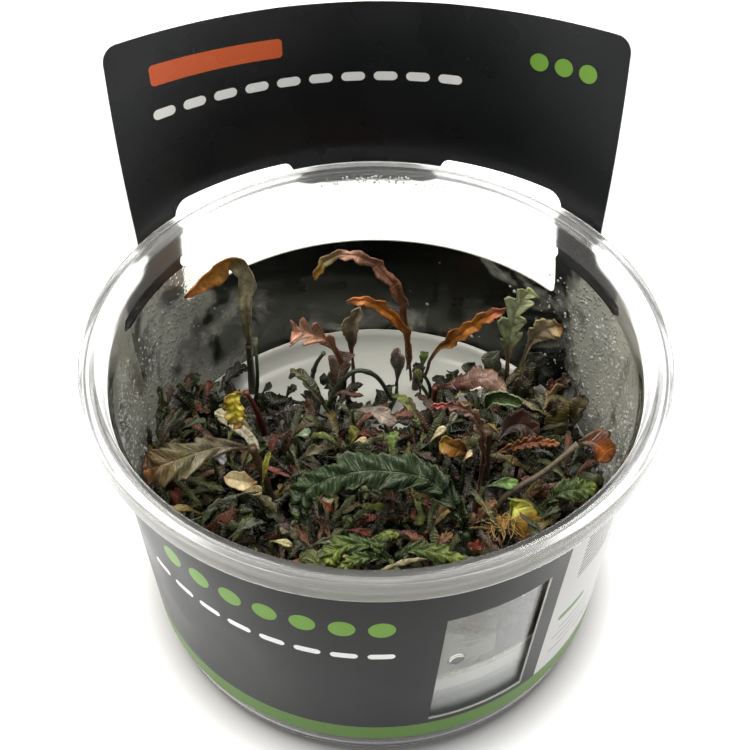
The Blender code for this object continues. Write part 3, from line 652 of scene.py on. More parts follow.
# A blade starts as a flat grid, across -1 to 1 and from foot to tip, and is bent, lobed and crimped into place
def growLeaf(bm, leaf, perLobe, columns):
    leaf = {**usualLeaf, **leaf}
    path, width, lobes = leaf["path"], leaf["width"], leaf["lobes"]
    stalk = leaf["stalk"]
    stalkRows = 4 if perLobe > 3 else 2
    rows = stalkRows + lobes * perLobe
    dice = random.Random(leaf["seed"])
    swell = {(side, lobe): dice.uniform(0.8, 1.08) for side in (-1, 1) for lobe in range(-1, lobes + 2)}
    grid = bmesh.ops.create_grid(bm, x_segments=columns, y_segments=rows, size=1)["verts"]
    uvs = bm.loops.layers.uv["blade"]
    tint = bm.verts.layers.float_color["tint"]

    def growth(row):
        if row <= stalkRows:
            return stalk * row / stalkRows, -0.5 * (1 - row / stalkRows)
        share = (row - stalkRows) / (rows - stalkRows)
        return stalk + (1 - stalk) * share, share * lobes

    for face in {face for vert in grid for face in vert.link_faces}:
        for loop in face.loops:
            row = (loop.vert.co.y + 1) / 2 * rows
            loop[uvs].uv = (loop.vert.co.x / 2 + 0.5, (growth(row)[1] + 1) / 10)
    for vert in grid:
        side = vert.co.x
        reach = abs(side)
        row = round((vert.co.y + 1) / 2 * rows)
        t, phase = growth(row)
        here = alongPath(path, t)
        ahead = (alongPath(path, min(1, t + 0.02)) - alongPath(path, max(0, t - 0.02))).normalized()
        across = ahead.cross(Vector(leaf["face"])).normalized()
        across = Matrix.Rotation(radians(leaf["twist"]) * t, 3, ahead) @ across
        upper = across.cross(ahead).normalized()
        blade = max(0, phase) / lobes
        if side < 0:
            phase += leaf["stagger"]
        sinus = abs(2 * (phase % 1) - 1) ** leaf["roundness"]
        half = width / 2 * smoothStep(0.35 + 0.65 * blade / leaf["widest"])
        half *= sqrt(max(0, 1 - blade ** leaf["blunt"]))
        half *= (1 - leaf["depth"] * sinus) * swell[(-1 if side < 0 else 1, int(phase // 1))]
        half *= 1 + leaf["teeth"] * sin(6 * pi * phase)
        stem = leaf["petiole"] * width
        half = stem if row < stalkRows else max(half, stem * (1 - blade) + 0.05)
        bend = leaf["curl"] if abs(leaf["curl"]) > 0.01 else 0.01
        out = sin(bend * reach) / bend * half
        up = (1 - cos(bend * reach)) / bend * half + leaf["fold"] * reach * half
        ripple = cos(2 * pi * phase)
        up += leaf["quilt"] * ripple * sin(pi * reach) * min(1, half)
        up -= leaf["keel"] * (1 - min(1, 3 * reach))
        up += leaf["wave"] * sin(2 * pi * phase * 0.5 + 2 * side) * reach ** 2 * min(1, half)
        forward = leaf["slant"] * reach * half * (1 - 0.75 * blade)
        spot = here * 0.45 + Vector((side, leaf["seed"], 0))
        jitter = noise.noise_vector(spot) * leaf["rough"] * reach
        colour = colourAt(leaf["colours"], t)
        rim = smoothStep((reach - 0.7) / 0.3) * leaf["rimShare"]
        colour = colour.lerp(Vector(linear(leaf["rim"])[:3]), rim)
        # Painted shade: a leaf with a shade height is darkened the lower it sits, down to about a fifth at 27 mm
        if "shade" in leaf:
            colour = colour * (0.22 + 0.78 * smoothStep((here.z - 27) / (leaf["shade"] - 27)))
        colour = colour * (1 + 0.5 * noise.noise(here * 0.6 + Vector((side * 2, 7, 0))))
        vert[tint] = (*colour, 1)
        spot = here + ahead * forward + across * out * (1 if side > 0 else -1) + upper * up + jitter
        vert.co = insideCup(spot, 0.5) * mm


leaves = {
    "leaf_tall_folded": dict(
        path=[(-25, 28.5, 33), (-25, 28.8, 39), (-24.8, 28.8, 45), (-24.2, 29.2, 51), (-26.6, 29, 55.8),
        (-31, 26.4, 54.6), (-35.6, 23.8, 51)], width=6.6, lobes=4, depth=0.18, face=(0.1, -1, 0.25),
        slot="leaf_grey_olive", stalk=0.16, widest=0.85, curl=0.5, fold=0.3, twist=-38, stagger=0.34, teeth=0.03,
        seed=3, colours=[(0, "4E4834"), (0.14, "7E7656"), (0.3, "BEB692"), (0.55, "C6BC98"), (0.63, "7E6E34"),
        (0.68, "C48426"), (0.88, "C88028"), (1, "C0682C")], rim="6A4A34", rough=0.4),
    "leaf_arching_pink": dict(
        path=[(6.4, 31, 24.5), (5.8, 30.6, 37), (4.5, 30, 46), (0, 30, 53.6), (-5, 29.6, 56.6), (-9.5, 29.6, 55),
        (-11.5, 29.4, 50.4)], width=3.1, lobes=8, depth=0.5, face=(0.2, -1, 0.2), slot="leaf_pink_brown", stalk=0.1,
        stagger=0.34, wave=0.6, twist=25, roundness=1.2, seed=5, colours=[(0, "3E2A1C"), (0.3, "70462C"),
        (0.5, "7E5640"), (0.68, "A67C66"), (0.78, "7E7448"), (0.9, "8A7230"), (1, "B07828")], rim="5A3426",
        rimShare=0.6),
    "leaf_orange_curved": dict(
        path=[(7, 27.8, 24.5), (6.5, 27.2, 33), (5.5, 26.6, 40), (1.5, 26, 46), (-2, 25.2, 49), (-5.5, 25, 49)],
        width=3.2, lobes=6, depth=0.4, face=(0.2, -1, 0.3), slot="leaf_orange", stalk=0.15, stagger=0.34, wave=0.3,
        widest=0.7, seed=8, colours=[(0, "54381C"), (0.3, "8A541E"), (0.6, "B06A22"), (0.9, "BE7434"),
        (1, "C08058")], rim="7A3E1E", rimShare=0.6, roundness=1.2),
    "leaf_orange_lance": dict(
        path=[(9.8, 28.6, 24.5), (11.5, 26.4, 34), (15.5, 24.6, 40), (20, 24.2, 45), (24.4, 24.2, 48)], width=3.6,
        lobes=5, depth=0.4, face=(-0.2, -1, 0.3), slot="leaf_orange", stalk=0.32, stagger=0.34, wave=0.4,
        widest=0.2, seed=11, colours=[(0, "3E3018"), (0.25, "6E5220"), (0.45, "A06424"), (0.75, "B0702C"),
        (0.92, "A85A3C"), (1, "9A4E4E")], rim="6E3E22", rimShare=0.6, roundness=1.2),
    "leaf_salmon_lobed": dict(
        path=[(-6.6, 22, 25.4), (-6.2, 21.4, 34), (-8.5, 20.6, 42), (-12.3, 19.4, 46), (-15.5, 19, 47)], width=7.4,
        lobes=4, depth=0.85, face=(0.1, -0.9, 0.5), slot="leaf_pink_brown", stalk=0.42, widest=0.8, slant=1.7,
        roundness=1.6, wave=0.3, seed=14, colours=[(0, "4E3626"), (0.4, "7A5440"), (0.6, "B88A6E"),
        (0.85, "CCA084"), (1, "B87E64")], rim="6A342A", rimShare=0.7),
    "leaf_grey_upright": dict(
        path=[(-4.4, 25.2, 25.4), (-4.6, 26, 36), (-4.4, 26, 42), (-3, 26.2, 46.4)], width=4.2, lobes=3, depth=0.25,
        face=(-0.2, -1, 0.3), slot="leaf_grey_olive", stalk=0.3, curl=1.0, seed=17,
        colours=[(0, "46342A"), (0.4, "62503E"), (0.6, "8C7E66"), (1, "8A8262")], rim="4A3428"),
    "leaf_pale_green": dict(
        path=[(25.6, 23, 27), (25.5, 22.4, 36), (25.5, 22, 43), (26.6, 22, 51), (28.4, 22, 55)], width=5.8, lobes=4,
        depth=0.68, face=(-0.2, -1, 0.3), slot="leaf_pale_green", stalk=0.3, stagger=0.34, slant=1.9, wave=0.4,
        roundness=1.5, widest=0.2, seed=20, colours=[(0, "5E3E34"), (0.28, "80644E"), (0.4, "8E9A70"),
        (0.75, "B4BC92"), (1, "AEB47A")], rim="4E5C2C", rimShare=0.6),
    "leaf_beige": dict(
        path=[(27.8, 25.6, 26), (29.8, 26.2, 36), (32.3, 25.4, 41), (35.4, 24.6, 43)], width=6.0, lobes=3,
        depth=0.4, face=(0, -0.9, 0.45), slot="leaf_grey_olive", stalk=0.35, seed=23,
        colours=[(0, "5A4A38"), (0.4, "94826A"), (0.7, "B8A484"), (0.9, "A89064"), (1, "A8502E")], rim="7E7C46"),
    "leaf_olive_hanging": dict(
        path=[(34, 18.8, 28.8), (34.2, 15, 34.6), (34.4, 10.6, 34.6), (34, 8.6, 29)], width=6.4, lobes=3,
        depth=0.22, face=(0.1, -0.9, 0.5), slot="leaf_olive", curl=-0.5, fold=-0.1, seed=26,
        colours=[(0, "5A2A20"), (0.3, "4E4220"), (0.7, "524A1C"), (1, "54482A")], rim="6E5440"),
    "leaf_maroon": dict(
        path=[(11.6, 15.2, 35.6), (15.8, 13.4, 39), (20.4, 12, 41.6), (24, 10, 40)], width=5.4, lobes=4, depth=0.3,
        face=(0, -0.5, 0.85), slot="leaf_maroon", curl=-0.4, fold=-0.2, seed=29,
        colours=[(0, "321E18"), (0.3, "4C3028"), (0.6, "6E5244"), (1, "7E6654")], rim="2E1612", rimShare=0.6),
    "leaf_red_tipped": dict(
        path=[(18.6, -6.8, 31.2), (19, -6, 42), (17.4, -4.6, 49), (13.6, -4, 51.6), (9.6, -3.6, 51)], width=2.5,
        lobes=10, depth=0.6, face=(0.1, -0.9, 0.45), slot="leaf_pink_brown", stagger=0.34, wave=0.5, slant=1.1,
        seed=32, colours=[(0, "2E1E18"), (0.35, "50382C"), (0.6, "6E5040"), (0.78, "7E4A40"), (0.9, "A03A38"),
        (1, "B8404A")], roundness=1.2, rim="8E7668"),
    "leaf_curled_green": dict(
        path=[(19.9, 4.6, 40.5), (20.6, 4.4, 43.9), (23.3, 3.7, 44.9), (26.2, 3.4, 43.9)], width=4.6, lobes=3,
        depth=0.15, face=(0, -0.6, 0.8), slot="leaf_bright_green", curl=1.9, fold=0, slant=0.5, seed=35,
        colours=[(0, "2E3C1E"), (0.5, "3A4C26"), (1, "44562C")], rim="8CA278", rimShare=0.7),
    "leaf_dark_red": dict(
        path=[(22, 0.9, 36.4), (24.4, 3, 38), (27, 3.2, 38.6), (29.6, 2, 37)], width=5.4, lobes=3, depth=0.35,
        face=(0, -0.6, 0.8), slot="leaf_maroon", seed=38, colours=[(0, "1C100C"), (0.5, "2C1812"), (1, "3A2218")],
        rim="3E261C"),
    "leaf_rust": dict(
        path=[(21.1, -2.3, 36.5), (25, -3, 39.7), (29, -3.3, 41.3), (32.5, -4.3, 41.6)], width=2.2, lobes=8,
        depth=0.62, face=(0, -0.7, 0.7), slot="leaf_orange", stagger=0.34, wave=0.6, seed=41,
        colours=[(0, "3A2010"), (0.4, "542A14"), (0.7, "6A3A1C"), (1, "8A5A30")], rim="8A5A34"),
    "leaf_golden": dict(
        path=[(18.4, -0.2, 33.6), (15.4, -1.6, 37), (13, -2, 39), (11.4, -2, 39.6)], width=4.6, lobes=2, depth=0.25,
        face=(0, -0.8, 0.6), slot="leaf_yellow", seed=44, colours=[(0, "4E3418"), (0.5, "865A24"), (1, "9A7A30")],
        rim="5E4420"),
    "leaf_large_green": dict(
        path=[(15.8, -17.8, 34), (14, -17.6, 40), (11, -16.4, 44), (7, -15.2, 46), (-1, -15, 47),
        (-7.5, -15.8, 46.2), (-11.8, -16.8, 44.2), (-13, -17.8, 41), (-12.4, -18.6, 37)], width=8.8, lobes=11,
        depth=0.26, face=(0, -0.45, 0.9), slot="leaf_dark_green", stalk=0.06, blunt=2, curl=-0.7, fold=0.18,
        quilt=1.1, keel=0.35, wave=0.6, slant=0.9, seed=47, colours=[(0, "2A3014"), (0.2, "24321C"),
        (0.6, "2E4026"), (0.85, "364A2C"), (1, "465030")], rim="4A5430", rimShare=0.4),
    "leaf_broad_olive": dict(
        path=[(-22.6, -3.6, 40), (-27.5, -7, 44), (-32, -10.6, 46), (-36.6, -12.8, 46), (-40, -12.4, 44.2)],
        width=9.4, lobes=4, depth=0.32, face=(0.15, -0.5, 0.85), slot="leaf_olive", curl=-0.6, fold=0.15, quilt=0.7,
        slant=1.4, roundness=2.2, widest=0.6, seed=50, colours=[(0, "4A4038"), (0.25, "6A6250"), (0.5, "565236"),
        (0.8, "5C4626"), (1, "744420")], rim="3E2A18", rimShare=0.6),
    "leaf_small_yellow": dict(
        path=[(-23.6, 4.2, 46.2), (-25, 2.8, 46.4), (-25.4, 1.4, 43.6), (-24.6, 0.6, 40.6)], width=4.4, lobes=6,
        depth=0.35, face=(0, -0.95, 0.3), slot="leaf_yellow", stagger=0.34, seed=53, roundness=1.1, wave=0.5,
        colours=[(0, "7A3C2A"), (0.15, "A8982C"), (0.6, "BCB030"), (0.9, "B8A050"), (1, "A86C48")], rim="6E3A22",
        rimShare=0.7),
    "leaf_cream_back": dict(
        path=[(-23.2, 6, 34), (-26, 6.4, 36), (-30, 8.2, 36.6)], width=3.0, lobes=1, depth=0.05,
        face=(0, -0.5, 0.85), slot="leaf_cream", seed=56, colours=[(0, "B8AC86"), (1, "A8A284")], rim="9A947A"),
    "leaf_cream_front": dict(
        path=[(-21.6, -5.6, 32.6), (-23.6, -7.4, 35), (-27.2, -7.2, 36)], width=3.4, lobes=1, depth=0.05,
        face=(0, -0.5, 0.85), slot="leaf_cream", seed=59, colours=[(0, "B89A68"), (0.5, "C8B488"), (1, "B8A67C")],
        rim="A08A5C"),
    "leaf_yellow": dict(
        path=[(23.6, -13.6, 36), (24.4, -15.2, 37.2), (25.8, -17, 36.4), (27.2, -18.4, 34.2), (27.8, -19.2, 31.4)],
        width=6.2, lobes=2, depth=0.08, face=(0.2, -0.8, 0.6), slot="leaf_yellow", stalk=0.05, widest=0.3,
        curl=-0.5, wave=0.2, quilt=0.05, rough=0.1, seed=62,
        colours=[(0, "6A7622"), (0.3, "86882A"), (0.45, "7A5C1E"), (1, "643E14")], rim="A07A2A"),
    "leaf_lime_curled": dict(
        path=[(3.0, -26.6, 37.5), (-0.7, -26, 40.5), (-4.7, -26.2, 41), (-7.4, -27.8, 40), (-8, -29.1, 38)],
        width=5.2, lobes=6, depth=0.45, face=(0, -0.5, 0.85), slot="leaf_bright_green", curl=-1.0, quilt=0.5,
        slant=1.3, seed=65, beside=[([(3.4, -27, 37), (-0.3, -27.6, 39.5), (-4, -28.7, 39.8),
        (-6, -30, 38.4)], 3.6), ([(3.1, -26.3, 37), (6.1, -26.1, 39.5), (11.1, -27, 39.6), (16.2, -27.9, 38)], 3.8),
        ([(2.7, -26.3, 37), (0.7, -27.3, 41), (1.3, -25.5, 42), (3.7, -23.1, 40)], 3.0)],
        colours=[(0, "26341A"), (0.4, "3E5022"), (0.7, "62702C"), (1, "7A843A")], rim="1E2A14"),
    "leaf_bright_green": dict(
        path=[(29.2, -13.6, 35.4), (32, -14.2, 40), (35, -14.6, 41.6), (38, -14.6, 42)], width=4.8, lobes=5,
        depth=0.35, face=(0, -0.5, 0.85), slot="leaf_bright_green", curl=-0.6, quilt=0.35, wave=0.5, seed=68,
        colours=[(0, "24321A"), (0.4, "364822"), (0.8, "4C5C28"), (1, "62702C")], rim="727E3A", rimShare=0.4),
    "leaf_dark_orange": dict(
        path=[(34.8, -9.4, 48), (36.8, -9.8, 48.8), (38.8, -10.6, 48), (40.6, -11.4, 45.8)], width=6.4, lobes=2,
        depth=0.15, face=(0, -0.6, 0.8), slot="leaf_orange", curl=-0.5, seed=71,
        colours=[(0, "2A2C14"), (0.25, "3E2414"), (0.5, "5A2C16"), (0.75, "A05A20"), (1, "4E2618")], rim="2E2A14"),
}
leafMesh = {
    "thickness": 0.28,
    "grid": (10, 12),           # rows to a lobe, columns across
    "besideGrid": (8, 8),
}
for node, leaf in leaves.items():
    bm = newPieceMesh()
    growLeaf(bm, leaf, *leafMesh["grid"])
    for path, width in leaf.get("beside", []):
        growLeaf(bm, {**leaf, "path": path, "width": width, "seed": leaf["seed"] + len(bm.verts)},
                 *leafMesh["besideGrid"])
    name = node.split("_", 1)[1] + "_leaf"
    finishPiece(bm, name, [leafSkins[leaf["slot"]]], [node], leafMesh["thickness"])
print("large leaves:", len(leaves))


# Stems: round and a little fleshy, thicker at each node, brown to maroon where old

stemSkin, stemShader = newMaterial("stem, brown and waxy", "4A3A2A", IOR=1.45, Roughness=0.4)
tint = addNode(stemSkin, "Attribute", attribute_name="tint")
place = addNode(stemSkin, "TexCoord").outputs["Object"]
# Lenticels and scars, about 0.4 mm
specks = addNode(stemSkin, "TexNoise", {"Vector": place, "Scale": 1800.0, "Detail": 3.0})
shade = addNode(stemSkin, "MapRange", [specks, 0.3, 0.7, 0.55, 1.45])
flesh = addNode(stemSkin, "VectorMath", {0: tint, "Scale": shade}, operation="SCALE")
feed(stemSkin, flesh, stemShader, "Base Color")
relief = addNode(stemSkin, "Bump", {"Height": specks, "Strength": 0.5, "Distance": 0.00012})
feed(stemSkin, relief, stemShader, "Normal")


# A tube drawn out along a path by extruding a ring of edges, thinner at the tip and swollen at the nodes
def growStem(bm, path, radius, tip, colours, sides=8, rings=14, nodes=0):
    tint = bm.verts.layers.float_color["tint"]
    ring = bmesh.ops.create_circle(bm, cap_ends=True, segments=sides, radius=1)["verts"]
    edges = list({edge for vert in ring for edge in vert.link_edges})
    ahead, turn, here, size = Vector((0, 0, 1)), Matrix.Identity(3), Vector(), 1 / mm
    for step in range(rings + 1):
        t = step / rings
        if step:
            grown = bmesh.ops.extrude_edge_only(bm, edges=edges)["geom"]
            ring = [item for item in grown if isinstance(item, bmesh.types.BMVert)]
            edges = [edge for edge in grown if isinstance(edge, bmesh.types.BMEdge)
                     and all(vert in ring for vert in edge.verts)]
        lastTurn, lastHere, lastSize = turn, here, size
        here = alongPath(path, t)
        heading = (alongPath(path, min(1, t + 0.02)) - alongPath(path, max(0, t - 0.02))).normalized()
        turn = ahead.rotation_difference(heading).to_matrix() @ lastTurn
        ahead = heading
        size = radius + (tip - radius) * t
        if nodes:
            size *= 1 + 0.35 * max(0, cos(2 * pi * t * nodes)) ** 8
        colour = colourAt(colours, t) * (1 + 0.25 * noise.noise(here * 0.7))
        for vert in ring:
            flatPlace = lastTurn.inverted() @ (vert.co / mm - lastHere) / lastSize
            vert[tint] = (*colour, 1)
            vert.co = (here + turn @ (flatPlace * size)) * mm
    bmesh.ops.contextual_create(bm, geom=edges)


brownStem = [(0, "2E2A1C"), (0.5, "3E3226"), (1, "4A3828")]
redStem = [(0, "24140E"), (0.5, "40201A"), (1, "4E2A20")]
greenStem = [(0, "20281A"), (0.5, "2E3820"), (1, "3A4628")]
stems = {
    "stem_tall_left": ([(-25, 28.5, 19), (-25, 28.5, 27), (-25, 28.5, 34)], 0.9, 0.6, [(0, "2A2818"), (1, "4A4230")]),
    "stem_back": ([(8, 29.5, 19), (8, 29.5, 23), (8, 29.5, 26)], 0.8, 0.5, brownStem),
    "stem_salmon": ([(-5.5, 23.5, 19), (-5.5, 23.5, 23), (-5.5, 23.5, 26)], 0.7, 0.5, brownStem),
    "stem_pale_green": ([(26.5, 24.5, 19), (26.5, 24.5, 24), (26.3, 24.2, 27.4)], 1.0, 0.7, redStem),
    "stem_right_wall": ([(34, 19, 19), (34, 19.2, 24), (34, 19, 29)], 0.8, 0.5, redStem),
    "stem_maroon": ([(11, 16.5, 19), (11, 16, 28), (11.3, 15.5, 35.6)], 0.7, 0.5, redStem),
    "stem_middle": ([(20, 0, 19), (20.3, 0.2, 30), (20.3, 0.6, 40)], 1.1, 0.7, brownStem),
    "stem_red_tipped": ([(18, -8.5, 19), (18.2, -8, 25), (18.5, -7, 31.2)], 0.9, 0.6, redStem),
    "stem_large_green": ([(17, -20, 19), (17, -19.4, 27), (15.8, -18, 34)], 1.0, 0.6, greenStem),
    "stem_broad_olive": ([(-19, -5, 19), (-20, -4.4, 30), (-22.2, -3.4, 40)], 1.1, 0.6, brownStem),
    "stem_red": ([(-20, 11, 19), (-21, 8.5, 30), (-22, 6.2, 39), (-23.4, 4.4, 46)], 0.8, 0.4,
                 [(0, "2E1610"), (0.6, "4E201A"), (1, "64302A")]),
    "stem_diagonal": ([(20.5, -14, 19), (20.6, -14, 30), (22.6, -13.4, 38), (29, -12.3, 43.4), (34.8, -9.8, 48)],
                      0.62, 0.5, [(0, "2E261E"), (0.5, "4A4034"), (1, "5C5142")]),
    "stem_front": ([(5, -27, 19), (4.6, -26.5, 30), (3.8, -25.4, 37.4)], 0.9, 0.5, greenStem),
    "stem_bright_green": ([(29, -17, 19), (29, -16.4, 28), (28.9, -14.8, 35.2)], 0.9, 0.5, greenStem),
    "stem_thin_left": ([(-13, 26, 19), (-12.6, 25, 28), (-11.6, 23.2, 34), (-10, 21.6, 38.6)], 0.55, 0.35, greenStem),
    "stem_arching": ([(-10, 16, 19), (-8.5, 16.5, 31), (-4.5, 17.5, 37.6), (0, 18, 36), (3, 18.6, 29)], 0.55, 0.4,
                     [(0, "1E2418"), (1, "2A3020")]),
}
for node, (path, radius, tip, colours) in stems.items():
    bm = newPieceMesh()
    growStem(bm, path, radius, tip, colours, sides=10, rings=20, nodes=max(1, len(path) - 2))
    bmesh.ops.recalc_face_normals(bm, faces=bm.faces)
    finishPiece(bm, node.split("_", 1)[1] + "_stem", [stemSkin], [node])
print("stems:", len(stems))


# Plantlets: crowded young shoots, each a tuft of small lobed leaves on thin stalks, dark green, olive and maroon

bush = {
    "shoots": 8,
    "leavesEach": 110,
    # low litter leaves, coloured in painted shade
    "litterEach": 58,
    "floor": 21.0,
    "wallGap": 2.2,
    "thickness": 0.2,
}
# Dark tone, light tone and how common the pair is
bushPalette = [
    ("1E260E", "464E1E", 5), ("12180A", "283016", 7), ("262C16", "5C6238", 3.5), ("32280E", "625224", 4),
    ("30140C", "62301C", 4), ("46280F", "7E5830", 2.2), ("1A0F08", "3A200C", 6), ("3E4C1C", "76823A", 1.5),
    ("6A644A", "A49C76", 1.2), ("4A160E", "84281A", 0.9), ("66562A", "96823E", 0.7),
]
plantletSkin = leafSkin("plantlet leaves, dark and waxy", "8E8C6E", 0.3, 0.24, 0.7, 0.0, 0.9)
clumps = [
    (-19, -31, 11, 38), (-5, -34, 9, 39), (11, -33, 9, 38), (26, -27, 11, 37), (-32.5, -20, 10, 40),
    (-9, -18, 9, 35), (6.5, -15, 9, 38), (35, -9, 9, 38), (-37, -4, 9, 39), (-27, -2, 9, 34), (-9, -1, 11, 36),
    (8, 2, 10, 36), (28, 6, 10, 34), (-34, 14, 9, 32), (-8, 9.5, 11, 32), (22, 15, 9, 31),
]
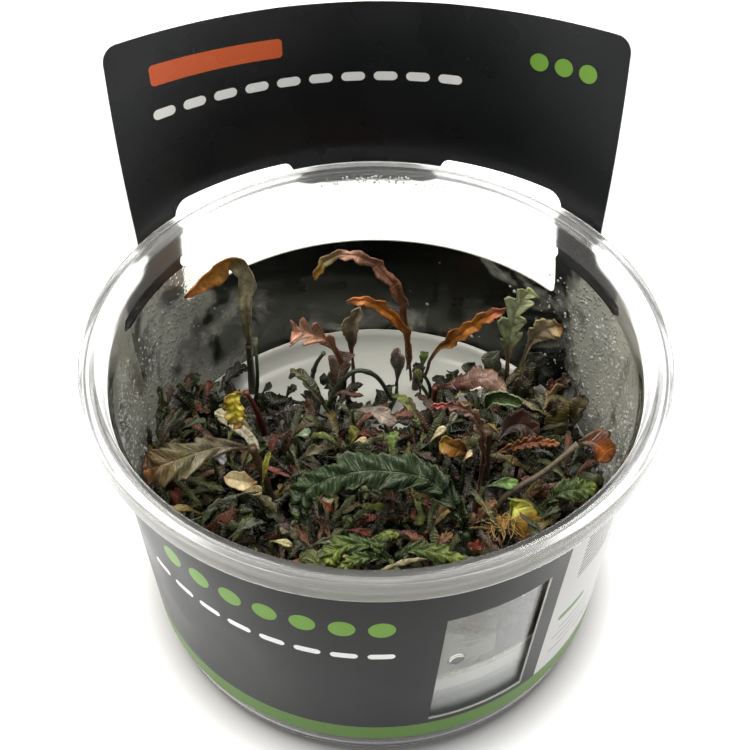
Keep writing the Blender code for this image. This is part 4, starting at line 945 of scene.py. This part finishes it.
# Single small leaves that stand out of the tangle: foot, tip, width, lobes, depth of the notches, two tones
singles = [
    ((-8.5, 17.0, 27), (-5.9, 22.5, 38), 5.3, 3, 0.35, "392820", "5E4739"),
    ((-23.0, 22.5, 38), (-23.3, 23.3, 41), 1.3, 1, 0.1, "5A6048", "8E947C"),
    ((-22.1, 19.0, 30), (-20.1, 19.2, 32), 1.9, 2, 0.4, "181F14", "2F3A25"),
    ((-17.6, 19.8, 28), (-15.5, 20.2, 31), 2.0, 2, 0.5, "25321C", "46572A"),
    ((-42.4, 23.3, 30), (-37.8, 23.6, 33), 2.2, 2, 0.4, "2E351D", "545B31"),
    ((4.2, 24.9, 26), (4.6, 21.1, 40), 3.2, 2, 0.2, "6A5248", "9A8478"),
    ((9.2, 27.8, 27), (9.6, 29.5, 31), 2.2, 2, 0.3, "5A7424", "7E9A38"),
    ((8.8, 24.5, 27), (7.9, 25.5, 30), 1.6, 1, 0.1, "8E9A50", "B4BC74"),
    ((29.6, 18.8, 29), (29.7, 21.8, 36), 2.9, 2, 0.3, "221C13", "3C3320"),
    ((24.4, 23.8, 30), (22.3, 23.6, 33), 1.8, 2, 0.3, "5A6A50", "9AA68C"),
    ((18.7, 10.3, 37), (18.5, 10.1, 41), 2.2, 1, 0.1, "B8B4A4", "E0DCCC"),
    ((12.5, 14.6, 36), (17.0, 14.3, 38), 1.5, 3, 0.4, "371915", "5B2B25"),
    ((14.9, 12.3, 36), (17.7, 13.2, 37), 1.7, 1, 0.1, "A89C7C", "CFC6A6"),
    ((-29.6, 6.8, 37), (-21.0, -2.2, 38), 2.1, 2, 0.1, "8A8470", "B2AA90"),
    ((-28.9, -7.3, 42), (-26.5, -8.7, 42), 2.1, 2, 0.2, "6E6A6E", "96929A"),
    ((-27.0, -2.8, 39), (-23.4, -3.3, 39), 1.8, 2, 0.3, "5D392E", "81594A"),
    ((-20.5, -7.5, 34), (-18.9, -4.6, 40), 1.4, 2, 0.2, "6E6E28", "92902F"),
    ((-14.6, 0.9, 38), (-12.0, 0.5, 39), 2.0, 2, 0.2, "5E7650", "A0B496"),
    ((-16.9, -0.4, 34), (-15.2, 0.6, 40), 2.4, 3, 0.4, "2B1711", "46261C"),
    ((-13.8, -3.1, 36), (-9.4, -2.0, 38), 2.4, 3, 0.2, "3A3723", "605C44"),
    ((-4.8, 2.0, 34), (-3.6, 2.9, 38), 2.4, 2, 0.3, "5E6028", "94923E"),
    ((-4.4, 0.3, 36), (-1.8, 0.9, 37), 1.6, 1, 0.1, "AE9458", "D2BC84"),
    ((-4.5, 9.2, 36), (3.7, 4.8, 37), 3.6, 3, 0.2, "5A4C44", "94867A"),
    ((1.5, 6.7, 36), (7.1, 7.3, 37), 2.2, 3, 0.4, "431E16", "6B382B"),
    ((2.6, -1.7, 35), (3.3, 1.0, 39), 2.4, 3, 0.4, "4A6230", "7E9A4A"),
    ((-10.2, -13.2, 37), (-7.7, -15.1, 36), 1.4, 1, 0.1, "692C19", "92462A"),
    ((-5.9, -19.6, 36), (-4.5, -18.4, 39), 2.3, 3, 0.3, "374325", "556336"),
    ((-5.2, -19.9, 37), (-0.7, -20.4, 36), 1.6, 3, 0.5, "451814", "6F2B26"),
    ((-11.0, -23.4, 37), (-5.8, -22.8, 38), 1.6, 3, 0.4, "303428", "5E624C"),
    ((-18.2, -22.5, 37), (-14.4, -23.4, 37), 1.4, 1, 0.2, "7E7A48", "B2AC78"),
    ((-17.3, -19.0, 37), (-14.9, -19.5, 37), 1.0, 1, 0.1, "2F2029", "503A45"),
    ((10.0, 2.1, 35), (12.8, 2.9, 38), 1.7, 1, 0.1, "A89A70", "D6CAA0"),
    ((13.4, 5.6, 35), (14.8, 6.4, 38), 1.5, 1, 0.1, "76705E", "A49E8A"),
    ((15.9, -4.0, 37), (17.3, -2.9, 38), 1.4, 1, 0.1, "B09A6E", "D8C49C"),
    ((19.0, -12.1, 39), (24.9, -12.1, 40), 2.5, 3, 0.1, "2C2A24", "6E9448"),
    ((9.6, -24.6, 37), (13.1, -21.5, 38), 2.1, 5, 0.6, "44271C", "714E34"),
    ((5.7, -12.0, 36), (9.9, -14.2, 36), 1.6, 4, 0.5, "461E1C", "713933"),
    ((1.8, -14.8, 35), (7.7, -17.8, 36), 1.8, 4, 0.5, "371E18", "5B3429"),
    ((16.7, -18.2, 36), (20.9, -14.9, 39), 2.1, 6, 0.6, "502B1D", "805435"),
    ((32.8, 16.4, 31), (33.6, 17.5, 36), 1.2, 1, 0.1, "511F1B", "6F3029"),
    ((-31.0, -17.7, 37), (-25.2, -14.0, 38), 2.1, 3, 0.5, "1D2519", "394532"),
    ((-25.5, -22.1, 37), (-19.7, -18.5, 38), 2.1, 4, 0.5, "252D21", "525B4A"),
    ((-12.9, -27.1, 38), (-6.1, -26.2, 38), 1.7, 4, 0.4, "4A5834", "848E5C"),
    ((4.8, -26.3, 37), (10.9, -24.6, 38), 2.1, 4, 0.5, "2F3A25", "5A6543"),
    ((10.8, -27.6, 37), (18.3, -27.5, 38), 1.7, 4, 0.4, "2D3726", "525B4A"),
    ((-2.9, -8.5, 34), (1.4, -11.6, 35), 1.4, 2, 0.3, "181D14", "2A3323"),
    ((28.5, -17.7, 37), (32.1, -15.8, 38), 1.8, 3, 0.4, "202818", "3C482A"),
    ((31.8, -19.9, 37), (37.3, -15.8, 38), 1.9, 3, 0.4, "242D1B", "445132"),
    ((-36.0, 3.3, 37), (-31.3, 4.9, 38), 2.2, 3, 0.4, "1F2819", "3C492E"),
    ((-42.1, 6.0, 34), (-39.4, 8.9, 38), 2.3, 3, 0.4, "222D1B", "455334"),
    ((-44.8, 13.6, 34), (-41.0, 15.9, 36), 1.7, 2, 0.4, "3B271C", "5D3F2D"),
    ((24.0, 21.0, 26), (22.0, 23.5, 37), 4.6, 2, 0.2, "33382C", "565C4A"),
    ((30.0, 20.5, 27), (31.0, 22.5, 38), 4.2, 3, 0.3, "1E2014", "383A26"),
    ((33.0, 15.0, 27), (36.5, 16.5, 38), 3.6, 3, 0.4, "261610", "462A1E"),
    ((36.5, 9.0, 28), (39.0, 11.0, 38), 3.8, 3, 0.3, "322C14", "564A26"),
    ((26.0, 16.0, 28), (28.5, 15.5, 38), 4.2, 3, 0.3, "1C1A10", "3A3220"),
    ((20.0, 23.0, 25), (18.0, 24.5, 33), 3.4, 2, 0.3, "3A4234", "6A7260"),
    ((31.0, 11.0, 28), (34.5, 9.5, 38), 3.4, 3, 0.4, "241A10", "3E2E1C"),
    ((9.0, 25.5, 22.5), (8.0, 26.5, 31), 2.6, 3, 0.4, "4A3A30", "7A6656"),
    ((-34.0, 12.0, 27), (-37.0, 13.5, 39), 2.4, 3, 0.4, "1C2414", "363E22"),
    ((-38.5, 7.0, 28), (-40.0, 9.5, 42), 2.0, 3, 0.4, "2A2A14", "4E4A24"),
    ((-30.0, 12.0, 27), (-31.0, 12.5, 37), 2.6, 3, 0.4, "12180C", "2A3218"),
    ((-24.5, -9.0, 33.5), (-20.3, -10.2, 35.5), 2.4, 1, 0.1, "A08A5C", "C4B07E"),
    ((-19.8, -1.2, 33.0), (-18.2, 2.0, 37.0), 2.2, 3, 0.4, "40180F", "6E2E20"),
    ((18.8, -36.7, 31.5), (21.8, -35.9, 41.3), 3.2, 3, 0.1, "141C10", "2E3A1E"),
    ((19.7, -36.2, 26.9), (15.9, -38.9, 33.5), 2.7, 1, 0.3, "1C1810", "3A3220"),
    ((20.0, -36.0, 26.9), (22.4, -35.5, 34.5), 2.5, 2, 0.1, "10160C", "262E16"),
    ((20.8, -35.6, 30.4), (17.8, -38.0, 36.4), 3.4, 1, 0.1, "161A0E", "30361C"),
    ((22.1, -34.8, 27.2), (26.4, -32.7, 35.4), 3.1, 1, 0.1, "161A0E", "30361C"),
    ((22.9, -34.2, 33.0), (21.6, -36.0, 40.4), 2.4, 1, 0.3, "10160C", "262E16"),
    ((23.2, -34.0, 32.3), (24.4, -34.2, 40.6), 3.2, 1, 0.3, "20140C", "3E2A1A"),
    ((24.3, -33.3, 29.1), (23.2, -35.0, 37.0), 3.2, 1, 0.3, "10160C", "262E16"),
    ((25.1, -32.7, 27.9), (24.8, -33.9, 36.1), 2.8, 2, 0.4, "10160C", "262E16"),
    ((25.5, -32.4, 31.2), (27.0, -32.2, 41.0), 2.4, 1, 0.3, "20140C", "3E2A1A"),
    ((26.2, -31.8, 33.0), (24.7, -34.0, 40.8), 3.0, 2, 0.3, "10160C", "262E16"),
    ((26.8, -31.2, 33.8), (25.0, -33.7, 41.8), 2.7, 1, 0.3, "20140C", "3E2A1A"),
    ((27.8, -30.4, 29.7), (26.9, -32.2, 36.9), 2.4, 1, 0.4, "161A0E", "30361C"),
    ((28.4, -29.9, 27.4), (28.8, -30.6, 36.3), 2.3, 3, 0.4, "141C10", "2E3A1E"),
    ((28.6, -29.7, 31.5), (28.0, -31.3, 38.5), 3.1, 1, 0.1, "10160C", "262E16"),
    ((4.7, -40.7, 27.7), (1.0, -41.8, 37.6), 2.9, 1, 0.3, "24301A", "4A5A30"),
    ((6.8, -40.4, 28.2), (2.4, -41.7, 37.6), 2.6, 2, 0.3, "1C2A12", "3E5224"),
    ((11.1, -39.5, 28.3), (11.2, -40.3, 37.2), 2.8, 2, 0.3, "24301A", "4A5A30"),
    ((13.4, -38.8, 26.7), (12.1, -40.0, 36.7), 3.4, 3, 0.3, "24301A", "4A5A30"),
    ((16.9, -37.4, 26.9), (17.1, -38.1, 35.0), 2.9, 3, 0.3, "24301A", "4A5A30"),
]


def smallLeaf(dice, path, width, lobes, depth, dark, light):
    return {
        "path": path, "width": width, "lobes": lobes, "depth": depth, "face": (0, -0.45, 0.9),
        "stalk": dice.uniform(0.08, 0.25), "curl": dice.uniform(-0.9, 0.9), "wave": dice.uniform(0.1, 0.7),
        "twist": dice.uniform(-50, 50), "slant": dice.uniform(0.8, 1.6), "roundness": 1.3, "teeth": 0,
        "colours": [(0, dark), (0.65, light), (1, dice.choice([dark, light]))], "rim": dark, "rimShare": 0.4,
        # shade: painted shade, darkening these leaves below 39 mm
        "seed": dice.randrange(9999), "shade": 39}


nearest = {}
for single in singles:
    foot = Vector(single[0])
    home = min(range(len(clumps)), key=lambda n: hypot(clumps[n][0] - foot.x, clumps[n][1] - foot.y))
    nearest.setdefault(home, []).append(single)
for number, (x, y, spread, top) in enumerate(clumps, 1):
    dice = random.Random(100 + number)
    bm = newPieceMesh()
    centre = Vector((x, y, 0))
    shoots = []
    for shoot in range(bush["shoots"]):
        turn = dice.uniform(0, 2 * pi)
        lean = Vector((cos(turn), sin(turn), 0)) * dice.uniform(0.1, 0.75) * spread
        foot = insideCup(centre + lean * 0.5 + Vector((0, 0, bush["floor"] - 1.5)), 4)
        crown = insideCup(centre + lean + Vector((0, 0, top - dice.uniform(0, 7))), 4)
        bend = (foot + crown) / 2 + Vector((dice.uniform(-2, 2), dice.uniform(-2, 2), 0))
        shoots.append([foot, bend, crown])
        colours = dice.choice([greenStem, brownStem, redStem])
        growStem(bm, shoots[-1], dice.uniform(0.35, 0.55), 0.25, colours, sides=6, rings=5)
    for index in range(bush["leavesEach"] + bush["litterEach"]):
        litter = index >= bush["leavesEach"]
        turn = dice.uniform(0, 2 * pi)
        outward = Vector((cos(turn), sin(turn), 0))
        if litter:
            foot = centre + outward * spread * 1.15 * sqrt(dice.random()) + Vector((0, 0, dice.uniform(22, 27)))
            turn = dice.uniform(0, 2 * pi)
            outward = Vector((cos(turn), sin(turn), 0))
            height, length, rise, droop = 0, dice.uniform(8, 12), dice.uniform(-0.1, 0.3), 0.1
        else:
            height = dice.random() ** 0.6
            foot = alongPath(dice.choice(shoots), height)
            length = dice.uniform(6, 14) * (1.1 - 0.25 * height)
            rise = dice.uniform(-0.2, 1.5) * (0.4 + 0.6 * height)
            droop = dice.uniform(0.0, 0.5)
        path = [foot, foot + (outward + Vector((0, 0, rise))) * length * 0.34,
                foot + outward * length * 0.68 + Vector((0, 0, rise - droop)) * length * 0.6,
                foot + outward * length * 0.95 + Vector((0, 0, rise - 2.2 * droop)) * length * 0.7]
        low, high = bush["floor"] + 0.8, top + 1.5
        path = [insideCup(Vector((p.x, p.y, min(max(p.z, low), high))), bush["wallGap"]) for p in path]
        # Painted shade: litter low on the gel takes only the darkest tones, dark at both ends and near-black at its
        # foot, for the shade under the tangle
        tones = bushPalette[:7] if litter else bushPalette
        dark, light, _ = dice.choices(tones, weights=[weight for *_, weight in tones])[0]
        width = dice.uniform(3.2, 5.0) if litter else dice.uniform(1.0, 2.7)
        leaf = smallLeaf(dice, path, width, dice.choice([3, 3, 4]), dice.uniform(0.3, 0.65), dark,
                         dark if litter else light)
        if litter:
            leaf["colours"] = [(0, "0E120A"), (1, dark)]
        growLeaf(bm, leaf, 3, 2)
    for foot, tip, width, lobes, depth, dark, light in nearest.get(number - 1, []):
        foot, tip = insideCup(Vector(foot), 2.2), insideCup(Vector(tip), 2.2)
        arch = Vector((0, 0, 0.12 * (tip - foot).length))
        leaf = smallLeaf(dice, [foot, (foot * 2 + tip) / 3 + arch, (foot + tip * 2) / 3 + arch, tip],
                         width, lobes, depth, dark, light)
        growLeaf(bm, {**leaf, "twist": dice.uniform(-15, 15), "curl": dice.uniform(-0.5, 0.3)}, 6, 6)
        down = Vector((foot.x * 0.85 + x * 0.15, foot.y * 0.85 + y * 0.15, bush["floor"] - 0.4))
        middle = (down + foot) / 2 + Vector((0.6, 0.4, 0))
        growStem(bm, [insideCup(down, 4), middle, foot], 0.4, 0.25, greenStem, sides=6, rings=6)
    finishPiece(bm, f"plantlet_leaves_{number:02d}", [plantletSkin],
                [f"plantlet_{number:02d}"], bush["thickness"])
print("plantlets:", len(clumps))


# Fine roots: a tuft of wiry golden-brown hairs at the foot of the yellow leaf

rootSkin, rootShader = newMaterial("fine roots, golden brown", "A8823E", Roughness=0.5, IOR=1.45)
place = addNode(rootSkin, "TexCoord").outputs["Object"]
patches = addNode(rootSkin, "TexNoise", {"Vector": place, "Scale": 900.0, "Detail": 2.0})
colour = addNode(rootSkin, "Mix", {0: patches, 6: linear("6E4A24"), 7: linear("C8A45C")}, data_type="RGBA")
feed(rootSkin, colour.outputs[2], rootShader, "Base Color")
roots = {
    "count": 56,
    "start": (22.6, -17.6, 36.6),
    "length": (3.5, 6.5),
    "radius": 0.09,
}
bm = newPieceMesh()
dice = random.Random(7)
for strand in range(roots["count"]):
    here = Vector(roots["start"]) + Vector([dice.uniform(-1.6, 1.2), dice.uniform(-0.8, 0.8), dice.uniform(-1, 1)])
    heading = Vector((dice.uniform(-1.2, 0.6), dice.uniform(-0.9, 0.3), dice.uniform(-0.8, 0.7))).normalized()
    path = [here]
    stretch = dice.uniform(*roots["length"]) / 4
    for step in range(4):
        heading = (heading + Vector([dice.uniform(-0.7, 0.7) for axis in range(3)])).normalized()
        here = insideCup(here + heading * stretch, 2)
        path.append(here.copy())
    growStem(bm, path, roots["radius"], 0.06, [(0, "6E3A22"), (0.4, "96702E"), (1, "C8A45C")], sides=4, rings=10)
bmesh.ops.recalc_face_normals(bm, faces=bm.faces)
finishPiece(bm, "fine_roots", [rootSkin])
print("fine roots")


# Water drops standing on the inside of the wall above the gel

# Painted highlight: the small drops are partly diffuse white, standing in for their glints
water, waterShader = newMaterial("water drop", "F6F8F8", Roughness=0.03, IOR=1.333, Transmission_Weight=0.6)
clearWater, clearWaterShader = newMaterial(
    "wide water drop", "FFFFFF", Roughness=0.0, IOR=1.333, Transmission_Weight=1.0)
drops = {
    "count": 1500,
    "radius": (0.14, 0.38),
    "low": 25.5,
    "high": 52.0,
    "flatness": 0.55,
    "underLip": 70,
    "lipRadius": 46.6,
    "lipHeight": (60.0, 61.7),
    "lipSize": (0.12, 0.32),
    "wideRadius": 1.4,
}
bm = bmesh.new()
dice = random.Random(21)
placed = 0
while placed < drops["count"]:
    turn = radians(dice.uniform(0, 360))
    height = dice.uniform(drops["low"], drops["high"])
    size = dice.uniform(*drops["radius"]) * (0.6 + 0.8 * dice.random() ** 3)
    crowd = abs(cos(turn - 0.1)) ** 8 * (0.25 + 0.9 * (height / 52) ** 2) + 0.012
    if dice.random() > crowd or (sin(turn) > 0.75 and height > 44):
        continue
    radius = wallRadius(height) - cup["wall"] - 0.02
    outward = Vector((cos(turn), sin(turn), 0))
    drop = bmesh.ops.create_icosphere(bm, subdivisions=1, radius=size * mm)["verts"]
    squeeze = Matrix.Scale(drops["flatness"], 4, outward)
    place = Matrix.Translation((outward * radius + Vector((0, 0, height))) * mm)
    bmesh.ops.transform(bm, verts=drop, matrix=place @ squeeze)
    placed += 1
# A few hang inside the lip by the tab, and one wide drop clings to the wall in the window
for count in range(drops["underLip"]):
    turn = radians(90 + dice.gauss(0, 7))
    height = dice.uniform(*drops["lipHeight"])
    place = Vector((drops["lipRadius"] * cos(turn), drops["lipRadius"] * sin(turn), height))
    bmesh.ops.create_icosphere(bm, subdivisions=1, radius=dice.uniform(*drops["lipSize"]) * mm,
                               matrix=Matrix.Translation(place * mm))
centre = Vector(cup["wideDrop"])
outward = Vector((centre.x, centre.y, 0)).normalized()
place = Matrix.Translation(centre) @ Matrix.Scale(0.5, 4, outward) @ Matrix.Scale(0.95, 4, (0, 0, 1))
wide = set(bmesh.ops.create_icosphere(bm, subdivisions=4, radius=drops["wideRadius"] * mm)["verts"])
bmesh.ops.transform(bm, verts=list(wide), matrix=place)
for face in bm.faces:
    if face.verts[0] in wide:
        face.material_index = 1
finishPiece(bm, "wall_drops", [water, clearWater])
print("drops:", placed)
